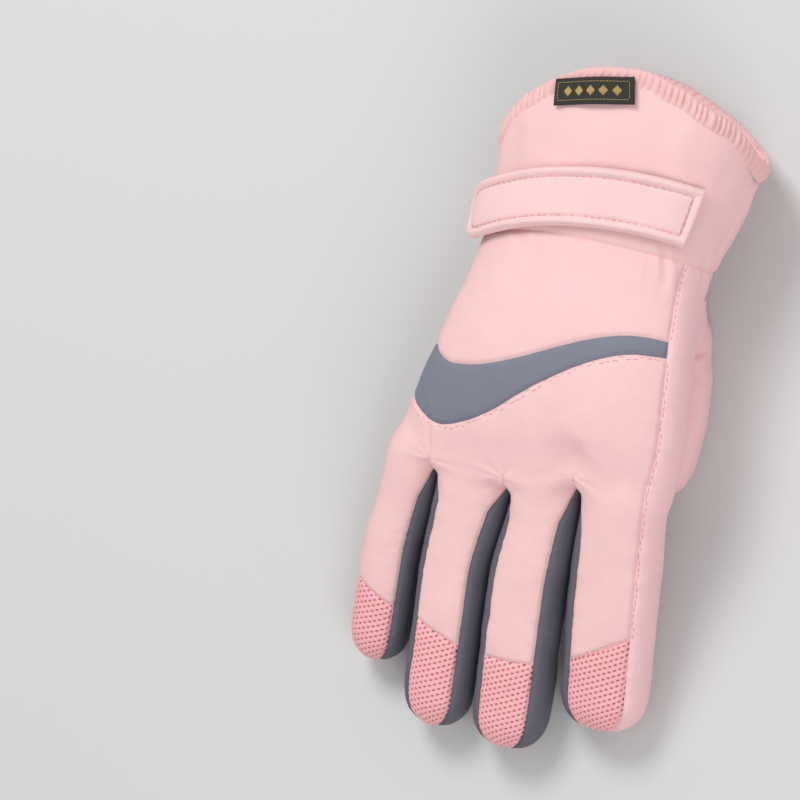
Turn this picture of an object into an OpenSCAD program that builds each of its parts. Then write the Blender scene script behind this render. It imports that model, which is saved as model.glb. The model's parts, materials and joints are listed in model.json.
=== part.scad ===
// Right-hand ski glove, lying palm down with the thumb tucked under the palm.
// +Y points to the fingertips, +Z is the back of the hand, the thumb is on the -X side.
// Every sewn panel, lining and padding layer is its own thin closed solid.

/* [Hand] */
// Half width of the hand across the knuckles
knuckle_half_w = 60; // [56:1:64]
// Half width of the wrist, where the shell is narrowest
wrist_half_w = 44.5; // [43:0.5:47]
// Half width of the cuff at its hem
hem_half_w = 53; // [50:1:56]
// Distance from the crotches of the fingers back to the wrist's bend
wrist_back = 80; // [78:1:82]

/* [Fingers] */
// Length of the index, middle, ring and little finger, along each one
finger_len = [92, 107, 106, 89]; // [70:1:115]
// Half width of each finger
finger_half_w = [17.3, 15.1, 13.7, 11.5]; // [11:0.1:17.5]
// Half height of each finger
finger_half_h = [13, 12.7, 12.4, 11.6]; // [11:0.1:13.5]
// Bend of the finger root from straight down to curled
knuckle_flex = 60; // [30:5:60]
// Bend of the finger middle
curl_flex = 70; // [30:5:70]

/* [Thumb] */
// Half width of the thumb
thumb_half_w = 14; // [12:0.5:15]
// Half height of the thumb
thumb_half_h = 10.2; // [9:0.1:10.4]

/* [Layers] */
// Thickness of the outer shell fabric with its backing
shell_t = 0.9; // [0.6:0.1:0.9]
// Thickness of the padding
padding_t = 2.2; // [1.6:0.1:2.2]
// Thickness of the fleece lining
lining_t = 1; // [0.6:0.1:1.2]

/* [Cuff and strap] */
// Width of the gathered hem
hem_w = 8; // [6:0.5:9]
// Width of the wrist strap
strap_w = 22.5; // [20:0.5:26]
// Thickness of the strap
strap_t = 2.4; // [1.8:0.1:2.6]

/* [Hidden] */

// The frame's origin lies under the middle of the glove, this far from the middle of the knuckle line
origin = [5.1, 26.4, 0];

PINK = [0.98, 0.80, 0.79];
PINK_DARK = [0.94, 0.68, 0.69];
GREY = [0.36, 0.36, 0.40];
CHARCOAL = [0.13, 0.13, 0.14];
FLEECE = [0.90, 0.88, 0.87];
WHITE = [0.95, 0.95, 0.93];

// Clearance between two layers, and between two panels that meet at a seam
gap = 0.2;
seam = 0.15;
// Depth of each layer's outer face below the shell's outer face
membrane_o = shell_t + gap;
membrane_t = 0.4;
padding_o = 2.2;
lining_o = padding_o + padding_t + gap;

// ---- The surfaces ----

function ease(q) = let (c = min(1, max(0, q))) c * c * (3 - 2 * c);
function mix(a, b, q) = a + (b - a) * q;
// Point of a superellipse of half sizes a and b and power n, at angle u: 0 is +X and 90 is +Z
function oval(u, a, b, n) = [
    a * sign(cos(u)) * pow(abs(cos(u)), 2 / n),
    b * sign(sin(u)) * pow(abs(sin(u)), 2 / n)];
function steps(a, b, n) = [for (i = [0:n]) mix(a, b, i / n)];

// Cross-sections of hand and cuff: y, centre x, centre z, half width, half height, power
sections = [
    [-160, -17.5, 36.4, hem_half_w - 2, 34, 2.1],
    [-130, -16, 36.4, hem_half_w, 35, 2.1],
    [-102, -12.5, 38, 47.5, 28.5, 2.2],
    [-wrist_back, -11.3, 40.5, wrist_half_w, 24.5, 2.3],
    [-45, -11, 43.5, 49.5, 21.5, 2.5],
    [-20, -8.5, 41.2, 54.5, 19, 2.7],
    [8, -1.5, 35, knuckle_half_w, 15, 3]];

// Cubic through the sections, with slopes taken across each one's neighbours
function section(y) = let (
    last = len(sections) - 1,
    k = max([for (i = [0:last - 1]) if (i == 0 || sections[i][0] <= y) i]),
    a = sections[k],
    b = sections[k + 1],
    a0 = sections[max(0, k - 1)],
    b1 = sections[min(last, k + 2)],
    h = b[0] - a[0],
    q = min(1, max(0, (y - a[0]) / h)),
    slope_a = (b - a0) / (b[0] - a0[0]),
    slope_b = (b1 - a) / (b1[0] - a[0]))
    a * (2 * q ^ 3 - 3 * q ^ 2 + 1) + b * (3 * q ^ 2 - 2 * q ^ 3)
    + slope_a * h * (q ^ 3 - 2 * q ^ 2 + q) + slope_b * h * (q ^ 3 - q ^ 2);

// Point of the hand or cuff at angle u and place y, a depth o inside the shell's outer face
function body_point(u, y, o) = let (c = section(y), p = oval(u, c[3] - o, c[4] - o, c[5]))
    [c[1] + p[0], y, c[2] + p[1]];

// The surface between two edges y0(u) and y1(u)
function body_skin(y0, y1) = function (u, v, o) body_point(u, mix(y0(u), y1(u), v), o);

// Height of the wall at u over the middle of the section at y
function wall_height(u, y) = let (c = section(y)) oval(u, c[3], c[4], c[5])[1];

// The hand's open end leans with the fingers
hand_front = function (u) wall_height(u, 0) * tan(15) - seam;
// Both sides of the wrist's bend leave room for it
wrist_bend = 25;
function wrist_gap(u) = abs(wall_height(u, -wrist_back)) * tan(wrist_bend / 2) + 0.4;
hand_rear = function (u) -wrist_back + wrist_gap(u);
cuff_front = function (u) -wrist_back - wrist_gap(u);
// The hem is scalloped: long over the back and the palm, short at both sides. It leans: the back
// is longer towards the thumb and the palm is longer towards the little finger
hem_side_y = -128;
hem_back_rise = 25;
hem_palm_rise = 28.5;
hem_tilt = 8.5;
hem_edge = function (u) hem_side_y + hem_tilt * (sin(u) > 0 ? cos(u) : cos(u) ^ 3)
    - (sin(u) > 0 ? hem_back_rise : hem_palm_rise * (1 + 0.45 * cos(u))) * pow(abs(sin(u)), 1.6);

// ---- Thick panels ----

// A sewn panel: the cells of a grid on a surface, from depth o0 to depth o1.
// us are its angles and vs its shares of the way from one edge to the other. closed joins the
// last angle to the first, keep says which cells are there, and cap closes the far end.
module panel(skin, us, vs, o0, o1, closed = false, keep = function (i, j) true, cap = false) {
    nu = len(us);
    nv = len(vs);
    cells_u = closed ? nu : nu - 1;
    function at(i, j, k) = (k * nv + j) * nu + i % nu;
    function there(i, j) = j >= 0 && j < nv - 1 && (closed || (i >= 0 && i < cells_u))
        && keep((i + cells_u) % cells_u, j);
    function quad(a, b, c, d) = [[a, b, c], [a, c, d]];
    points = [for (k = [0, 1], j = [0:nv - 1], i = [0:nu - 1])
        skin(us[i], vs[j], k == 0 ? o0 : o1)];
    faces = [for (i = [0:cells_u - 1], j = [0:nv - 2]) if (there(i, j))
        let (a = at(i, j, 0), b = at(i + 1, j, 0), c = at(i + 1, j + 1, 0), d = at(i, j + 1, 0),
            e = at(i, j, 1), f = at(i + 1, j, 1), g = at(i + 1, j + 1, 1), h = at(i, j + 1, 1))
        each concat(quad(a, b, c, d), quad(e, h, g, f),
            there(i, j - 1) ? [] : quad(b, a, e, f),
            there(i + 1, j) ? [] : quad(c, b, f, g),
            there(i, j + 1) || (cap && j == nv - 2) ? [] : quad(d, c, g, h),
            there(i - 1, j) ? [] : quad(a, d, h, e))];
    lids = cap ? [for (i = [1:nu - 2]) each [
        [at(0, nv - 1, 0), at(i, nv - 1, 0), at(i + 1, nv - 1, 0)],
        [at(0, nv - 1, 1), at(i + 1, nv - 1, 1), at(i, nv - 1, 1)]]] : [];
    polyhedron(points, concat(faces, lids), convexity = 6);
}

module place() translate(origin) children();

// ---- Hand ----

// Angles of the seams round the hand: little-finger side, index side, and the palm's edge
little_seam = 5;
index_seam = 155;
palm_seam = 205;
// Where the thumb leaves the palm
thumb_hole_u = [209, 249];
thumb_hole_y = [-72, -50];

// The wave band's two edges across the back of the hand, as y for each x
function band_top(x) = x > 27 ? -32 - 3.5 * ((x - 27) / 9) ^ 2 : -32 - 26 * ease((27 - x) / 77);
function band_bottom(x) = let (q = min(1, max(0, (31 - x) / 76)))
    x > 31 ? -8.4 - 5.3 * ((x - 31) / 13) ^ 2
    : -8.4 - 42.4 * (0.6 * ease(q) + 0.4 * q) - 0.14 * max(0, -45 - x);
function back_x(u) = body_point(u, -35, 0)[0];

back_us = steps(little_seam + seam, index_seam - seam, 16);

module back_panel(y0, y1, rows) {
    panel(body_skin(y0, y1), back_us, steps(0, 1, rows), 0, shell_t);
}

module back_lower_panel() {
    color(PINK) back_panel(function (u) band_bottom(back_x(u)) + seam, hand_front, 5);
}

module back_wave_band() {
    color(GREY) back_panel(function (u) band_top(back_x(u)) + seam,
        function (u) band_bottom(back_x(u)) - seam, 3);
}

module back_upper_panel() {
    color(PINK) back_panel(hand_rear, function (u) band_top(back_x(u)) - seam, 4);
}

module index_side_panel() {
    color(PINK) panel(body_skin(hand_rear, hand_front),
        steps(index_seam + seam, palm_seam - seam, 5), steps(0, 1, 7), 0, shell_t);
}

// Rows along the hand that have a row's edge at each end of the thumb's hole
function hand_rows(u, v) = v <= 1 ? mix(hand_rear(u), thumb_hole_y[0], v)
    : v <= 2 ? mix(thumb_hole_y[0], thumb_hole_y[1], v - 1)
    : mix(thumb_hole_y[1], hand_front(u), v - 2);
hand_skin = function (u, v, o) body_point(u, hand_rows(u, v), o);
// The inner layers stop a little behind the shell's front edge
layer_skin = function (u, v, o) body_point(u, hand_rows(u, v) - 0.35 * o * max(0, v - 2), o);
hand_vs = [0, 1, 1.5, 2, 2.25, 2.5, 2.75, 3];
function in_hole_rows(j) = j == 1 || j == 2;

module palm_panel() {
    us = concat([palm_seam + seam], steps(thumb_hole_u[0], thumb_hole_u[1], 4),
        steps(thumb_hole_u[1] + 12, 360 + little_seam - seam, 9));
    color(PINK) panel(hand_skin, us, hand_vs, 0, shell_t,
        keep = function (i, j) !(in_hole_rows(j) && i >= 1 && i <= 4));
}

// Grip patch on the palm, over the heads of the hand's bones
module palm_grip_patch() {
    color(GREY) panel(body_skin(function (u) -42, function (u) -8),
        steps(262, 340, 9), steps(0, 1, 4), -1.1, -0.3);
}

// A layer that goes all the way round the hand, with the thumb's hole in it
module hand_layer(o, t) {
    us = concat(steps(thumb_hole_u[0], thumb_hole_u[1], 4),
        [for (i = [1:20]) mix(thumb_hole_u[1], thumb_hole_u[0] + 360, i / 21)]);
    panel(layer_skin, us, hand_vs, o, o + t, closed = true,
        keep = function (i, j) !(in_hole_rows(j) && i < 4));
}

module hand_membrane() {
    color(WHITE) hand_layer(membrane_o, membrane_t);
}

module hand_padding() {
    color(WHITE) hand_layer(padding_o, padding_t);
}

module hand_lining() {
    color(FLEECE) hand_layer(lining_o, lining_t);
}

// ---- Cuff ----

cuff_skin = body_skin(function (u) hem_edge(u) + hem_w + seam, cuff_front);
whole_cuff = body_skin(hem_edge, cuff_front);
ring_us = [for (i = [0:31]) i * 360 / 32];

module cuff_back_panel() {
    color(PINK) panel(cuff_skin, steps(little_seam + seam, 180 - seam, 14), steps(0, 1, 5), 0, shell_t);
}

module cuff_palm_panel() {
    color(PINK) panel(cuff_skin, steps(180 + seam, 360 + little_seam - seam, 14), steps(0, 1, 5),
        0, shell_t);
}

module cuff_hem() {
    band = body_skin(hem_edge, function (u) hem_edge(u) + hem_w);
    color(PINK) panel(band, ring_us, steps(0, 1, 2), -1.6, -gap, closed = true);
}

// Elastic tape inside the hem, and the one that gathers the wrist under the palm
module cuff_elastics() {
    hem_tape = body_skin(function (u) hem_edge(u) + 1, function (u) hem_edge(u) + hem_w - 1);
    wrist_tape = body_skin(function (u) -100, function (u) -91);
    color(WHITE) {
        panel(hem_tape, ring_us, [0, 1], 0, 1.2, closed = true);
        panel(wrist_tape, steps(190, 350, 24), [0, 1], 1.3, 1.8);
    }
}

module cuff_padding() {
    color(WHITE) panel(whole_cuff, ring_us, steps(0, 1, 4), padding_o, padding_o + padding_t, closed = true);
}

module cuff_lining() {
    color(FLEECE) panel(whole_cuff, ring_us, steps(0, 1, 4), lining_o, lining_o + lining_t, closed = true);
}

module woven_label() {
    tag = body_skin(function (u) hem_edge(u) + 1, function (u) hem_edge(u) + 10.5);
    color(CHARCOAL) panel(tag, steps(66, 99, 4), [0, 1], -2.6, -1.8);
}

// ---- Strap, over the back of the cuff ----

strap_root_u = 142;
strap_end_u = 8;
// Middle line of the strap, and its half width, which rounds off towards the free end
function strap_mid(u) = let (x = body_point(u, -102, 0)[0])
    -104.4 + 11.4 * ((x + 38) / 61) ^ 2;
function strap_half(u) = let (q = min(1, max(0, (strap_end_u + 22 - u) / 22)))
    strap_w / 2 * sqrt(1 - 0.9 * q ^ 2);
strap_skin = body_skin(function (u) strap_mid(u) - strap_half(u),
    function (u) strap_mid(u) + strap_half(u));
fastener_skin = body_skin(function (u) strap_mid(u) - 8, function (u) strap_mid(u) + 4.5);
// Depths outside the shell: loop tape on the cuff, hook tape under the strap, and the strap
loop_o = -1;
hook_o = loop_o - 0.4 - 0.8;
strap_o = hook_o - 0.3;

module wrist_strap() {
    color(PINK) panel(strap_skin, steps(strap_end_u, strap_root_u, 18), steps(0, 1, 3),
        strap_o - strap_t, strap_o);
}

module strap_hook_patch() {
    color(CHARCOAL) panel(fastener_skin, steps(27, 67, 5), [0, 1], hook_o, hook_o + 0.8);
}

module strap_loop_patch() {
    color(CHARCOAL) panel(fastener_skin, steps(25, 95, 8), [0, 1], loop_o, loop_o + 0.8);
}

// ---- Fingers ----

// Index, middle, ring and little finger: root x, splay towards +X, droop below level
finger_x = [-42.5, -9.2, 20.3, 46.1];
finger_splay = [-3, -1.4, -0.4, 2.6];
finger_droop = [17, 14.4, 14.7, 18.6];
finger_root_z = 35.5;
finger_power = 2.6;
// Distances from the root of the finger to its two bends
knuckle_s = 11;
curl_share = 0.48;
// How far each bend also opens backwards
knuckle_back = 8;
curl_back = 12;
// The seams run this far above and below the middle of each side
seam_u = 46;
tip_round = 16;

function curl_s(f) = finger_len[f] * curl_share;

// Half width and half height along a finger: a slight taper, then a round end
function finger_size(f, s, o) = let (
    full = finger_len[f] - o,
    q = min(1, max(0, (s - full + tip_round) / tip_round)),
    end = pow(max(0, 1 - q ^ 2.4), 1 / 2.4),
    taper = 1 - 0.05 * s / full)
    [(finger_half_w[f] * taper - o) * end, (finger_half_h[f] * taper - o) * end];

function finger_point(f, u, s, o) = let (
    size = finger_size(f, s, o),
    p = oval(u, size[0], size[1], finger_power),
    droop = finger_droop[f],
    along = s * cos(droop) + p[1] * sin(droop),
    up = p[1] * cos(droop) - s * sin(droop),
    splay = finger_splay[f])
    [finger_x[f] + p[0] * cos(splay) + along * sin(splay),
     along * cos(splay) - p[0] * sin(splay),
     finger_root_z + up];

function finger_wall(f, u, o) = oval(u, 1, finger_half_h[f] - o, finger_power)[1];
// Ends of the two lengths of a finger, cut back so that each bend has room
function root_cut(f, u, o) = let (z = finger_wall(f, u, o))
    0.6 + abs(z) * (z > 0 ? knuckle_back / 40 : knuckle_flex / 60);
function bend_room(f, u, o) = let (z = finger_wall(f, u, o))
    0.3 + (z > 0 ? z * tan(curl_back / 2) : -z * tan(curl_flex / 2));

function root_skin(f) = function (u, v, o)
    finger_point(f, u, mix(root_cut(f, u, o), curl_s(f) - bend_room(f, u, o), v), o);
function tip_skin(f) = function (u, v, o)
    finger_point(f, u, mix(curl_s(f) + bend_room(f, u, o), finger_len[f] - o, v), o);

root_vs = steps(0, 1, 3);
tip_vs = [0, 0.3, 0.55, 0.75, 0.88, 0.96, 0.993];
back_span = [seam_u + 0.6, 180 - seam_u - 0.6];
palm_span = [180 + seam_u + 0.6, 360 - seam_u - 0.6];
thumb_side = [180 - seam_u, 180 + seam_u];
little_side = [-seam_u, seam_u];

module finger_part(f, span, tip, count) {
    panel(tip ? tip_skin(f) : root_skin(f), steps(span[0], span[1], count),
        tip ? tip_vs : root_vs, 0, shell_t);
}

module finger_liner(f, tip) {
    us = [for (i = [0:15]) i * 22.5];
    color(FLEECE) panel(tip ? tip_skin(f) : root_skin(f), us, tip ? tip_vs : root_vs,
        shell_t + gap, shell_t + gap + padding_t + lining_t, closed = true, cap = tip);
}

module index_back() { color(PINK) finger_part(0, back_span, false, 5); }
module index_palm() { color(PINK) finger_part(0, palm_span, false, 5); }
module index_outer_side() { color(PINK) finger_part(0, thumb_side, false, 5); }
module index_fourchette() { color(GREY) finger_part(0, little_side, false, 5); }
module index_tip_patch() { color(PINK_DARK) finger_part(0, back_span, true, 5); }
module index_tip_palm() { color(PINK) finger_part(0, palm_span, true, 5); }
module index_tip_outer_side() { color(PINK) finger_part(0, thumb_side, true, 5); }
module index_tip_fourchette() { color(GREY) finger_part(0, little_side, true, 5); }

module both_fourchettes(f, tip) {
    color(GREY) {
        finger_part(f, thumb_side, tip, 5);
        finger_part(f, little_side, tip, 5);
    }
}

// The little finger's back and tip patch wrap round its outer side
little_wrap = [-seam_u, 180 - seam_u - 0.6];

// ---- Thumb, under the palm ----

thumb_root = [-43, -50, thumb_half_h];
thumb_splay = 5;
thumb_len = 47;
thumb_curl_s = 26;
thumb_swing_out = 45;
thumb_swing_in = 10;
thumb_curl_flex = 50;
thumb_round = 12;
gusset_t = 2.4;

function thumb_point(u, s, o) = let (
    full = thumb_len - o,
    q = min(1, max(0, (s - full + thumb_round) / thumb_round)),
    end = pow(max(0, 1 - q ^ 2.4), 1 / 2.4),
    p = oval(u, (thumb_half_w - o) * end, (thumb_half_h - o) * end, 2.4))
    [thumb_root[0] + p[0] * cos(thumb_splay) + s * sin(thumb_splay),
     thumb_root[1] - p[0] * sin(thumb_splay) + s * cos(thumb_splay),
     thumb_root[2] + p[1]];

function thumb_wall(u, o) = oval(u, thumb_half_w - o, 1, 2.4)[0];
// The thumb swings out to -X and in to +X at its root, and curls in to +X at its middle
function swing_room(u, o) = let (x = thumb_wall(u, o))
    0.6 + (x < 0 ? -x * tan(thumb_swing_out / 2) : x * tan((thumb_swing_in + thumb_splay) / 2));
function thumb_bend_room(u, o) = let (x = thumb_wall(u, o))
    0.3 + (x > 0 ? x * tan(thumb_curl_flex / 2) : -x * tan(4));

thumb_root_skin = function (u, v, o)
    thumb_point(u, mix(swing_room(u, o), thumb_curl_s - thumb_bend_room(u, o), v), o);
thumb_tip_skin = function (u, v, o)
    thumb_point(u, mix(thumb_curl_s + thumb_bend_room(u, o), thumb_len - o, v), o);
thumb_tip_vs = [0, 0.35, 0.6, 0.8, 0.92, 0.985];
outer_span = [90 + seam, 270 - seam];
inner_span = [-90 + seam, 90 - seam];

module thumb_part(skin, span, vs) {
    panel(skin, steps(span[0], span[1], 8), vs, 0, shell_t);
}

module thumb_layer(skin, vs, cap) {
    us = [for (i = [0:15]) i * 22.5];
    color(FLEECE) panel(skin, us, vs, shell_t + gap, shell_t + gap + padding_t + lining_t,
        closed = true, cap = cap);
}

// A quarter turn from the hole in the palm to the root of the thumb, about the web's crease
web = [thumb_root[1], thumb_root[2] + thumb_half_h + 0.3];
module thumb_gusset() {
    skin = function (u, v, o) let (
        turn = mix(4, 90, v),
        p = oval(u, thumb_half_w - o, thumb_half_h - o, 2.4),
        r = thumb_half_h - p[1],
        room = v * (swing_room(u, o) - 0.2))
        [thumb_root[0] + p[0],
         web[0] - r * cos(turn) - room * sin(turn),
         web[1] - 0.3 * v - r * sin(turn) + room * cos(turn)];
    us = [for (i = [0:15]) i * 22.5];
    color(PINK) panel(skin, us, steps(0, 1, 5), 0, gusset_t, closed = true);
}

// ---- Nodes ----

place() back_lower_panel();
place() back_wave_band();
place() back_upper_panel();
place() palm_panel();
place() index_side_panel();
place() palm_grip_patch();
place() thumb_gusset();
place() hand_membrane();
place() hand_padding();
place() hand_lining();
place() cuff_back_panel();
place() cuff_palm_panel();
place() cuff_hem();
place() cuff_elastics();
place() cuff_padding();
place() cuff_lining();
place() woven_label();
place() strap_loop_patch();
place() wrist_strap();
place() strap_hook_patch();
place() index_back();
place() index_palm();
place() index_outer_side();
place() index_fourchette();
place() finger_liner(0, false);  // index_liner
place() index_tip_patch();
place() index_tip_palm();
place() index_tip_outer_side();
place() index_tip_fourchette();
place() finger_liner(0, true);  // index_tip_liner
place() color(PINK) finger_part(1, back_span, false, 5);  // middle_back
place() color(PINK) finger_part(1, palm_span, false, 5);  // middle_palm
place() both_fourchettes(1, false);  // middle_fourchettes
place() finger_liner(1, false);  // middle_liner
place()  // middle_tip_patch
    color(PINK_DARK) finger_part(1, back_span, true, 5);
place() color(PINK) finger_part(1, palm_span, true, 5);  // middle_tip_palm
place() both_fourchettes(1, true);  // middle_tip_fourchettes
place() finger_liner(1, true);  // middle_tip_liner
place() color(PINK) finger_part(2, back_span, false, 5);  // ring_back
place() color(PINK) finger_part(2, palm_span, false, 5);  // ring_palm
place() both_fourchettes(2, false);  // ring_fourchettes
place() finger_liner(2, false);  // ring_liner
place()  // ring_tip_patch
    color(PINK_DARK) finger_part(2, back_span, true, 5);
place() color(PINK) finger_part(2, palm_span, true, 5);  // ring_tip_palm
place() both_fourchettes(2, true);  // ring_tip_fourchettes
place() finger_liner(2, true);  // ring_tip_liner
place() color(PINK) finger_part(3, little_wrap, false, 9);  // little_back
place() color(PINK) finger_part(3, palm_span, false, 5);  // little_palm
place()  // little_fourchette
    color(GREY) finger_part(3, thumb_side, false, 5);
place() finger_liner(3, false);  // little_liner
place()  // little_tip_patch
    color(PINK_DARK) finger_part(3, little_wrap, true, 9);
place() color(PINK) finger_part(3, palm_span, true, 5);  // little_tip_palm
place()  // little_tip_fourchette
    color(GREY) finger_part(3, thumb_side, true, 5);
place() finger_liner(3, true);  // little_tip_liner
place()  // thumb_outer
    color(PINK) thumb_part(thumb_root_skin, outer_span, root_vs);
place()  // thumb_inner
    color(PINK) thumb_part(thumb_root_skin, inner_span, root_vs);
place() thumb_layer(thumb_root_skin, root_vs, false);  // thumb_liner
place()  // thumb_tip_outer
    color(PINK) thumb_part(thumb_tip_skin, outer_span, thumb_tip_vs);
place()  // thumb_tip_inner
    color(PINK) thumb_part(thumb_tip_skin, inner_span, thumb_tip_vs);
place() thumb_layer(thumb_tip_skin, thumb_tip_vs, true);  // thumb_tip_liner
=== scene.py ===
import json
import math

import bpy
import numpy as np
from mathutils import Matrix, Vector, noise
from mathutils.bvhtree import BVHTree


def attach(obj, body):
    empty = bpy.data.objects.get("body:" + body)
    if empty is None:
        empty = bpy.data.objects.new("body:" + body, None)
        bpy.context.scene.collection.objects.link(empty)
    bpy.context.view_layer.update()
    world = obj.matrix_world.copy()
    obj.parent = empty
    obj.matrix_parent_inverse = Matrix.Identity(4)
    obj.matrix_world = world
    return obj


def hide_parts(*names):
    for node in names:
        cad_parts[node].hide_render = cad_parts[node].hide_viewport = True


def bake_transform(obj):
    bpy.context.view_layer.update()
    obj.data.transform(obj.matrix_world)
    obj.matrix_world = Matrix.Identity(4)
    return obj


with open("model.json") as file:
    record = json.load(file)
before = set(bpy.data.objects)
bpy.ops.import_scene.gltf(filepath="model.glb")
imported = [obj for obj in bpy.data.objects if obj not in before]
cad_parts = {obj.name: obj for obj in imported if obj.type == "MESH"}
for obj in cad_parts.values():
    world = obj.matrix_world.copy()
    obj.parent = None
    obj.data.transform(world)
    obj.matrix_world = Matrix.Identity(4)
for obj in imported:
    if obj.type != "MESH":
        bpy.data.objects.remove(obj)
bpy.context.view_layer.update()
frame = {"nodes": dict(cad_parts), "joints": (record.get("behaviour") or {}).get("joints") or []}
JOINT = {j["name"]: j for j in frame["joints"]}


def joint_mm(name):
    return np.array(JOINT[name]["pos_m"]) * 1000


# ---------------------------------------------------------------- shape of the glove, in millimetres
FINGERS = ["index", "middle", "ring", "little"]
KNUCKLE_S = 11.0  # the root hinge lies this far along each finger
FULL_W = [17.3, 15.1, 13.7, 11.5]  # half width of each finger
FULL_H = [13.0, 12.7, 12.4, 11.6]  # half height of each finger
ROUND_TIP = 16.0  # each fingertip is rounded over this length
FINGER_POWER = 2.6  # squareness of a finger's section
WRIST = joint_mm("wrist_bend")
OX, OY = WRIST[0] + 11.3, WRIST[1] + 80.0  # the CAD's own middle of the knuckle line

# sections of cuff and hand: y, centre x, centre z, half width, half height, squareness
SECTIONS = np.array([
    [-160, -15.5, 36.4, 48, 34, 2.1],
    [-130, -14.3, 36.4, 50.5, 35, 2.1],
    [-102, -12.5, 38, 47.5, 28.5, 2.2],
    [-80, -11.3, 40.5, 44.5, 24.5, 2.3],
    [-45, -11, 43.5, 49.5, 21.5, 2.5],
    [-20, -8.5, 41.2, 54.5, 19, 2.7],
    [8, -1.5, 35, 60, 15, 3.0]])


def ease(q):
    q = np.clip(q, 0, 1)
    return q * q * (3 - 2 * q)


def spline(t, keys, rows):
    """Smooth curve through the rows at their keys (Catmull-Rom), held at both ends, for each t."""
    keys, rows = np.asarray(keys, float), np.asarray(rows, float)
    t = np.clip(t, keys[0], keys[-1])
    k = np.clip(np.searchsorted(keys, t, side="right") - 1, 0, len(keys) - 2)
    k0, k2, k3 = np.maximum(k - 1, 0), k + 1, np.minimum(k + 2, len(keys) - 1)
    h = (keys[k2] - keys[k])[..., None]
    q = (t - keys[k])[..., None] / h
    m1 = (rows[k2] - rows[k0]) / (keys[k2] - keys[k0])[..., None]
    m2 = (rows[k3] - rows[k]) / (keys[k3] - keys[k])[..., None]
    return (rows[k] * (2 * q**3 - 3 * q**2 + 1) + rows[k2] * (3 * q**2 - 2 * q**3)
            + m1 * h * (q**3 - 2 * q**2 + q) + m2 * h * (q**3 - q**2))


def section(y):
    """Centre x, centre z, half width, half height and squareness at each y."""
    return spline(y, SECTIONS[:, 0], SECTIONS[:, 1:])


def oval(u, a, b, n):
    u = np.radians(u)
    c, s = np.cos(u), np.sin(u)
    return a * np.sign(c) * np.abs(c) ** (2 / n), b * np.sign(s) * np.abs(s) ** (2 / n)


def body_point(u, y, o=0.0):
    """Point of hand or cuff at angle u (0 is +X, 90 is +Z) and place y, a depth o inside the shell."""
    c = section(y)
    px, pz = oval(u, c[..., 2] - o, c[..., 3] - o, c[..., 4])
    return np.stack([c[..., 0] + px + OX, np.broadcast_to(y, px.shape) + OY, c[..., 1] + pz], -1)


def hem_edge(u):
    """Where the cuff ends at angle u. The soft edge sags a little, most at the thumb's side."""
    s, c = np.sin(np.radians(u)), np.cos(np.radians(u))
    sag = 1.0 + 4.5 * np.exp(-((u - 188) / 34.0) ** 2) + 3.0 * np.exp(-((u - 125) / 26.0) ** 2)
    tilt, rise = np.where(s > 0, c, c**3), np.where(s > 0, 25, 28.5 * (1 + 0.45 * c))
    return -128 + 8.5 * tilt - rise * np.abs(s) ** 1.6 + sag


class Finger:
    """One finger, by the place s along it and the angle u round it."""

    def __init__(self, name, a, b):
        hinge, bend = joint_mm(name + "_root"), joint_mm(name + "_curl")
        self.name, self.a, self.b = name, a, b
        self.d = (bend - hinge) / np.linalg.norm(bend - hinge)
        self.root = hinge - KNUCKLE_S * self.d
        self.curl_s = KNUCKLE_S + np.linalg.norm(bend - hinge)
        self.length = self.curl_s / 0.48
        self.side = np.array([self.d[1], -self.d[0], 0])
        self.side /= np.linalg.norm(self.side)
        self.up = np.cross(self.side, self.d)

    def size(self, s, o=0.0):
        full = self.length - o
        q = np.clip((s - full + ROUND_TIP) / ROUND_TIP, 0, 1)
        end = np.maximum(0, 1 - q**2.4) ** (1 / 2.4)
        taper = 1 - 0.05 * s / full
        return (self.a * taper - o) * end, (self.b * taper - o) * end

    def point(self, u, s, o=0.0):
        a, b = self.size(s, o)
        px, pz = oval(u, a, b, FINGER_POWER)
        s = np.broadcast_to(s, px.shape)
        return self.root + px[..., None] * self.side + s[..., None] * self.d + pz[..., None] * self.up

    def local(self, p):
        q = p - self.root
        return q @ self.side, q @ self.d, q @ self.up


F = [Finger(*q) for q in zip(FINGERS, FULL_W, FULL_H)]


# ---------------------------------------------------------------- mesh helpers (numpy, millimetres)
def new_object(name, verts, faces):
    """A smooth object from points in millimetres, none of them below the floor."""
    me = bpy.data.meshes.new(name)
    verts = np.asarray(verts, float) / 1000
    verts[:, 2] = np.maximum(verts[:, 2], 0)
    me.from_pydata(verts.tolist(), [], faces if isinstance(faces, list) else faces.tolist())
    me.validate()
    me.shade_smooth()
    ob = bpy.data.objects.new(name, me)
    bpy.context.scene.collection.objects.link(ob)
    return ob


def verts_mm(me):
    co = np.zeros(len(me.vertices) * 3)
    me.vertices.foreach_get("co", co)
    return co.reshape(-1, 3) * 1000


def set_verts_mm(me, v):
    me.vertices.foreach_set("co", (v / 1000).astype(np.float32).ravel())
    me.update()


def tube(rings):
    """Closed mesh through rings of equal length, each an (n, 3) array, with both ends filled."""
    n = len(rings[0])
    verts = np.concatenate(rings + [rings[0].mean(0)[None], rings[-1].mean(0)[None]])
    faces, m = [], len(rings)
    for j in range(m - 1):
        for i in range(n):
            a, b = j * n + i, j * n + (i + 1) % n
            faces.append((a, b, b + n, a + n))
    for i in range(n):
        faces.append((m * n, (i + 1) % n, i))
        faces.append((m * n + 1, (m - 1) * n + i, (m - 1) * n + (i + 1) % n))
    return verts, faces


def baked(ob):
    """The object's mesh with its modifiers applied, as a new mesh; the object goes."""
    bpy.context.view_layer.update()
    dg = bpy.context.evaluated_depsgraph_get()
    me = bpy.data.meshes.new_from_object(ob.evaluated_get(dg))
    bpy.data.objects.remove(ob)
    return me


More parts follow.
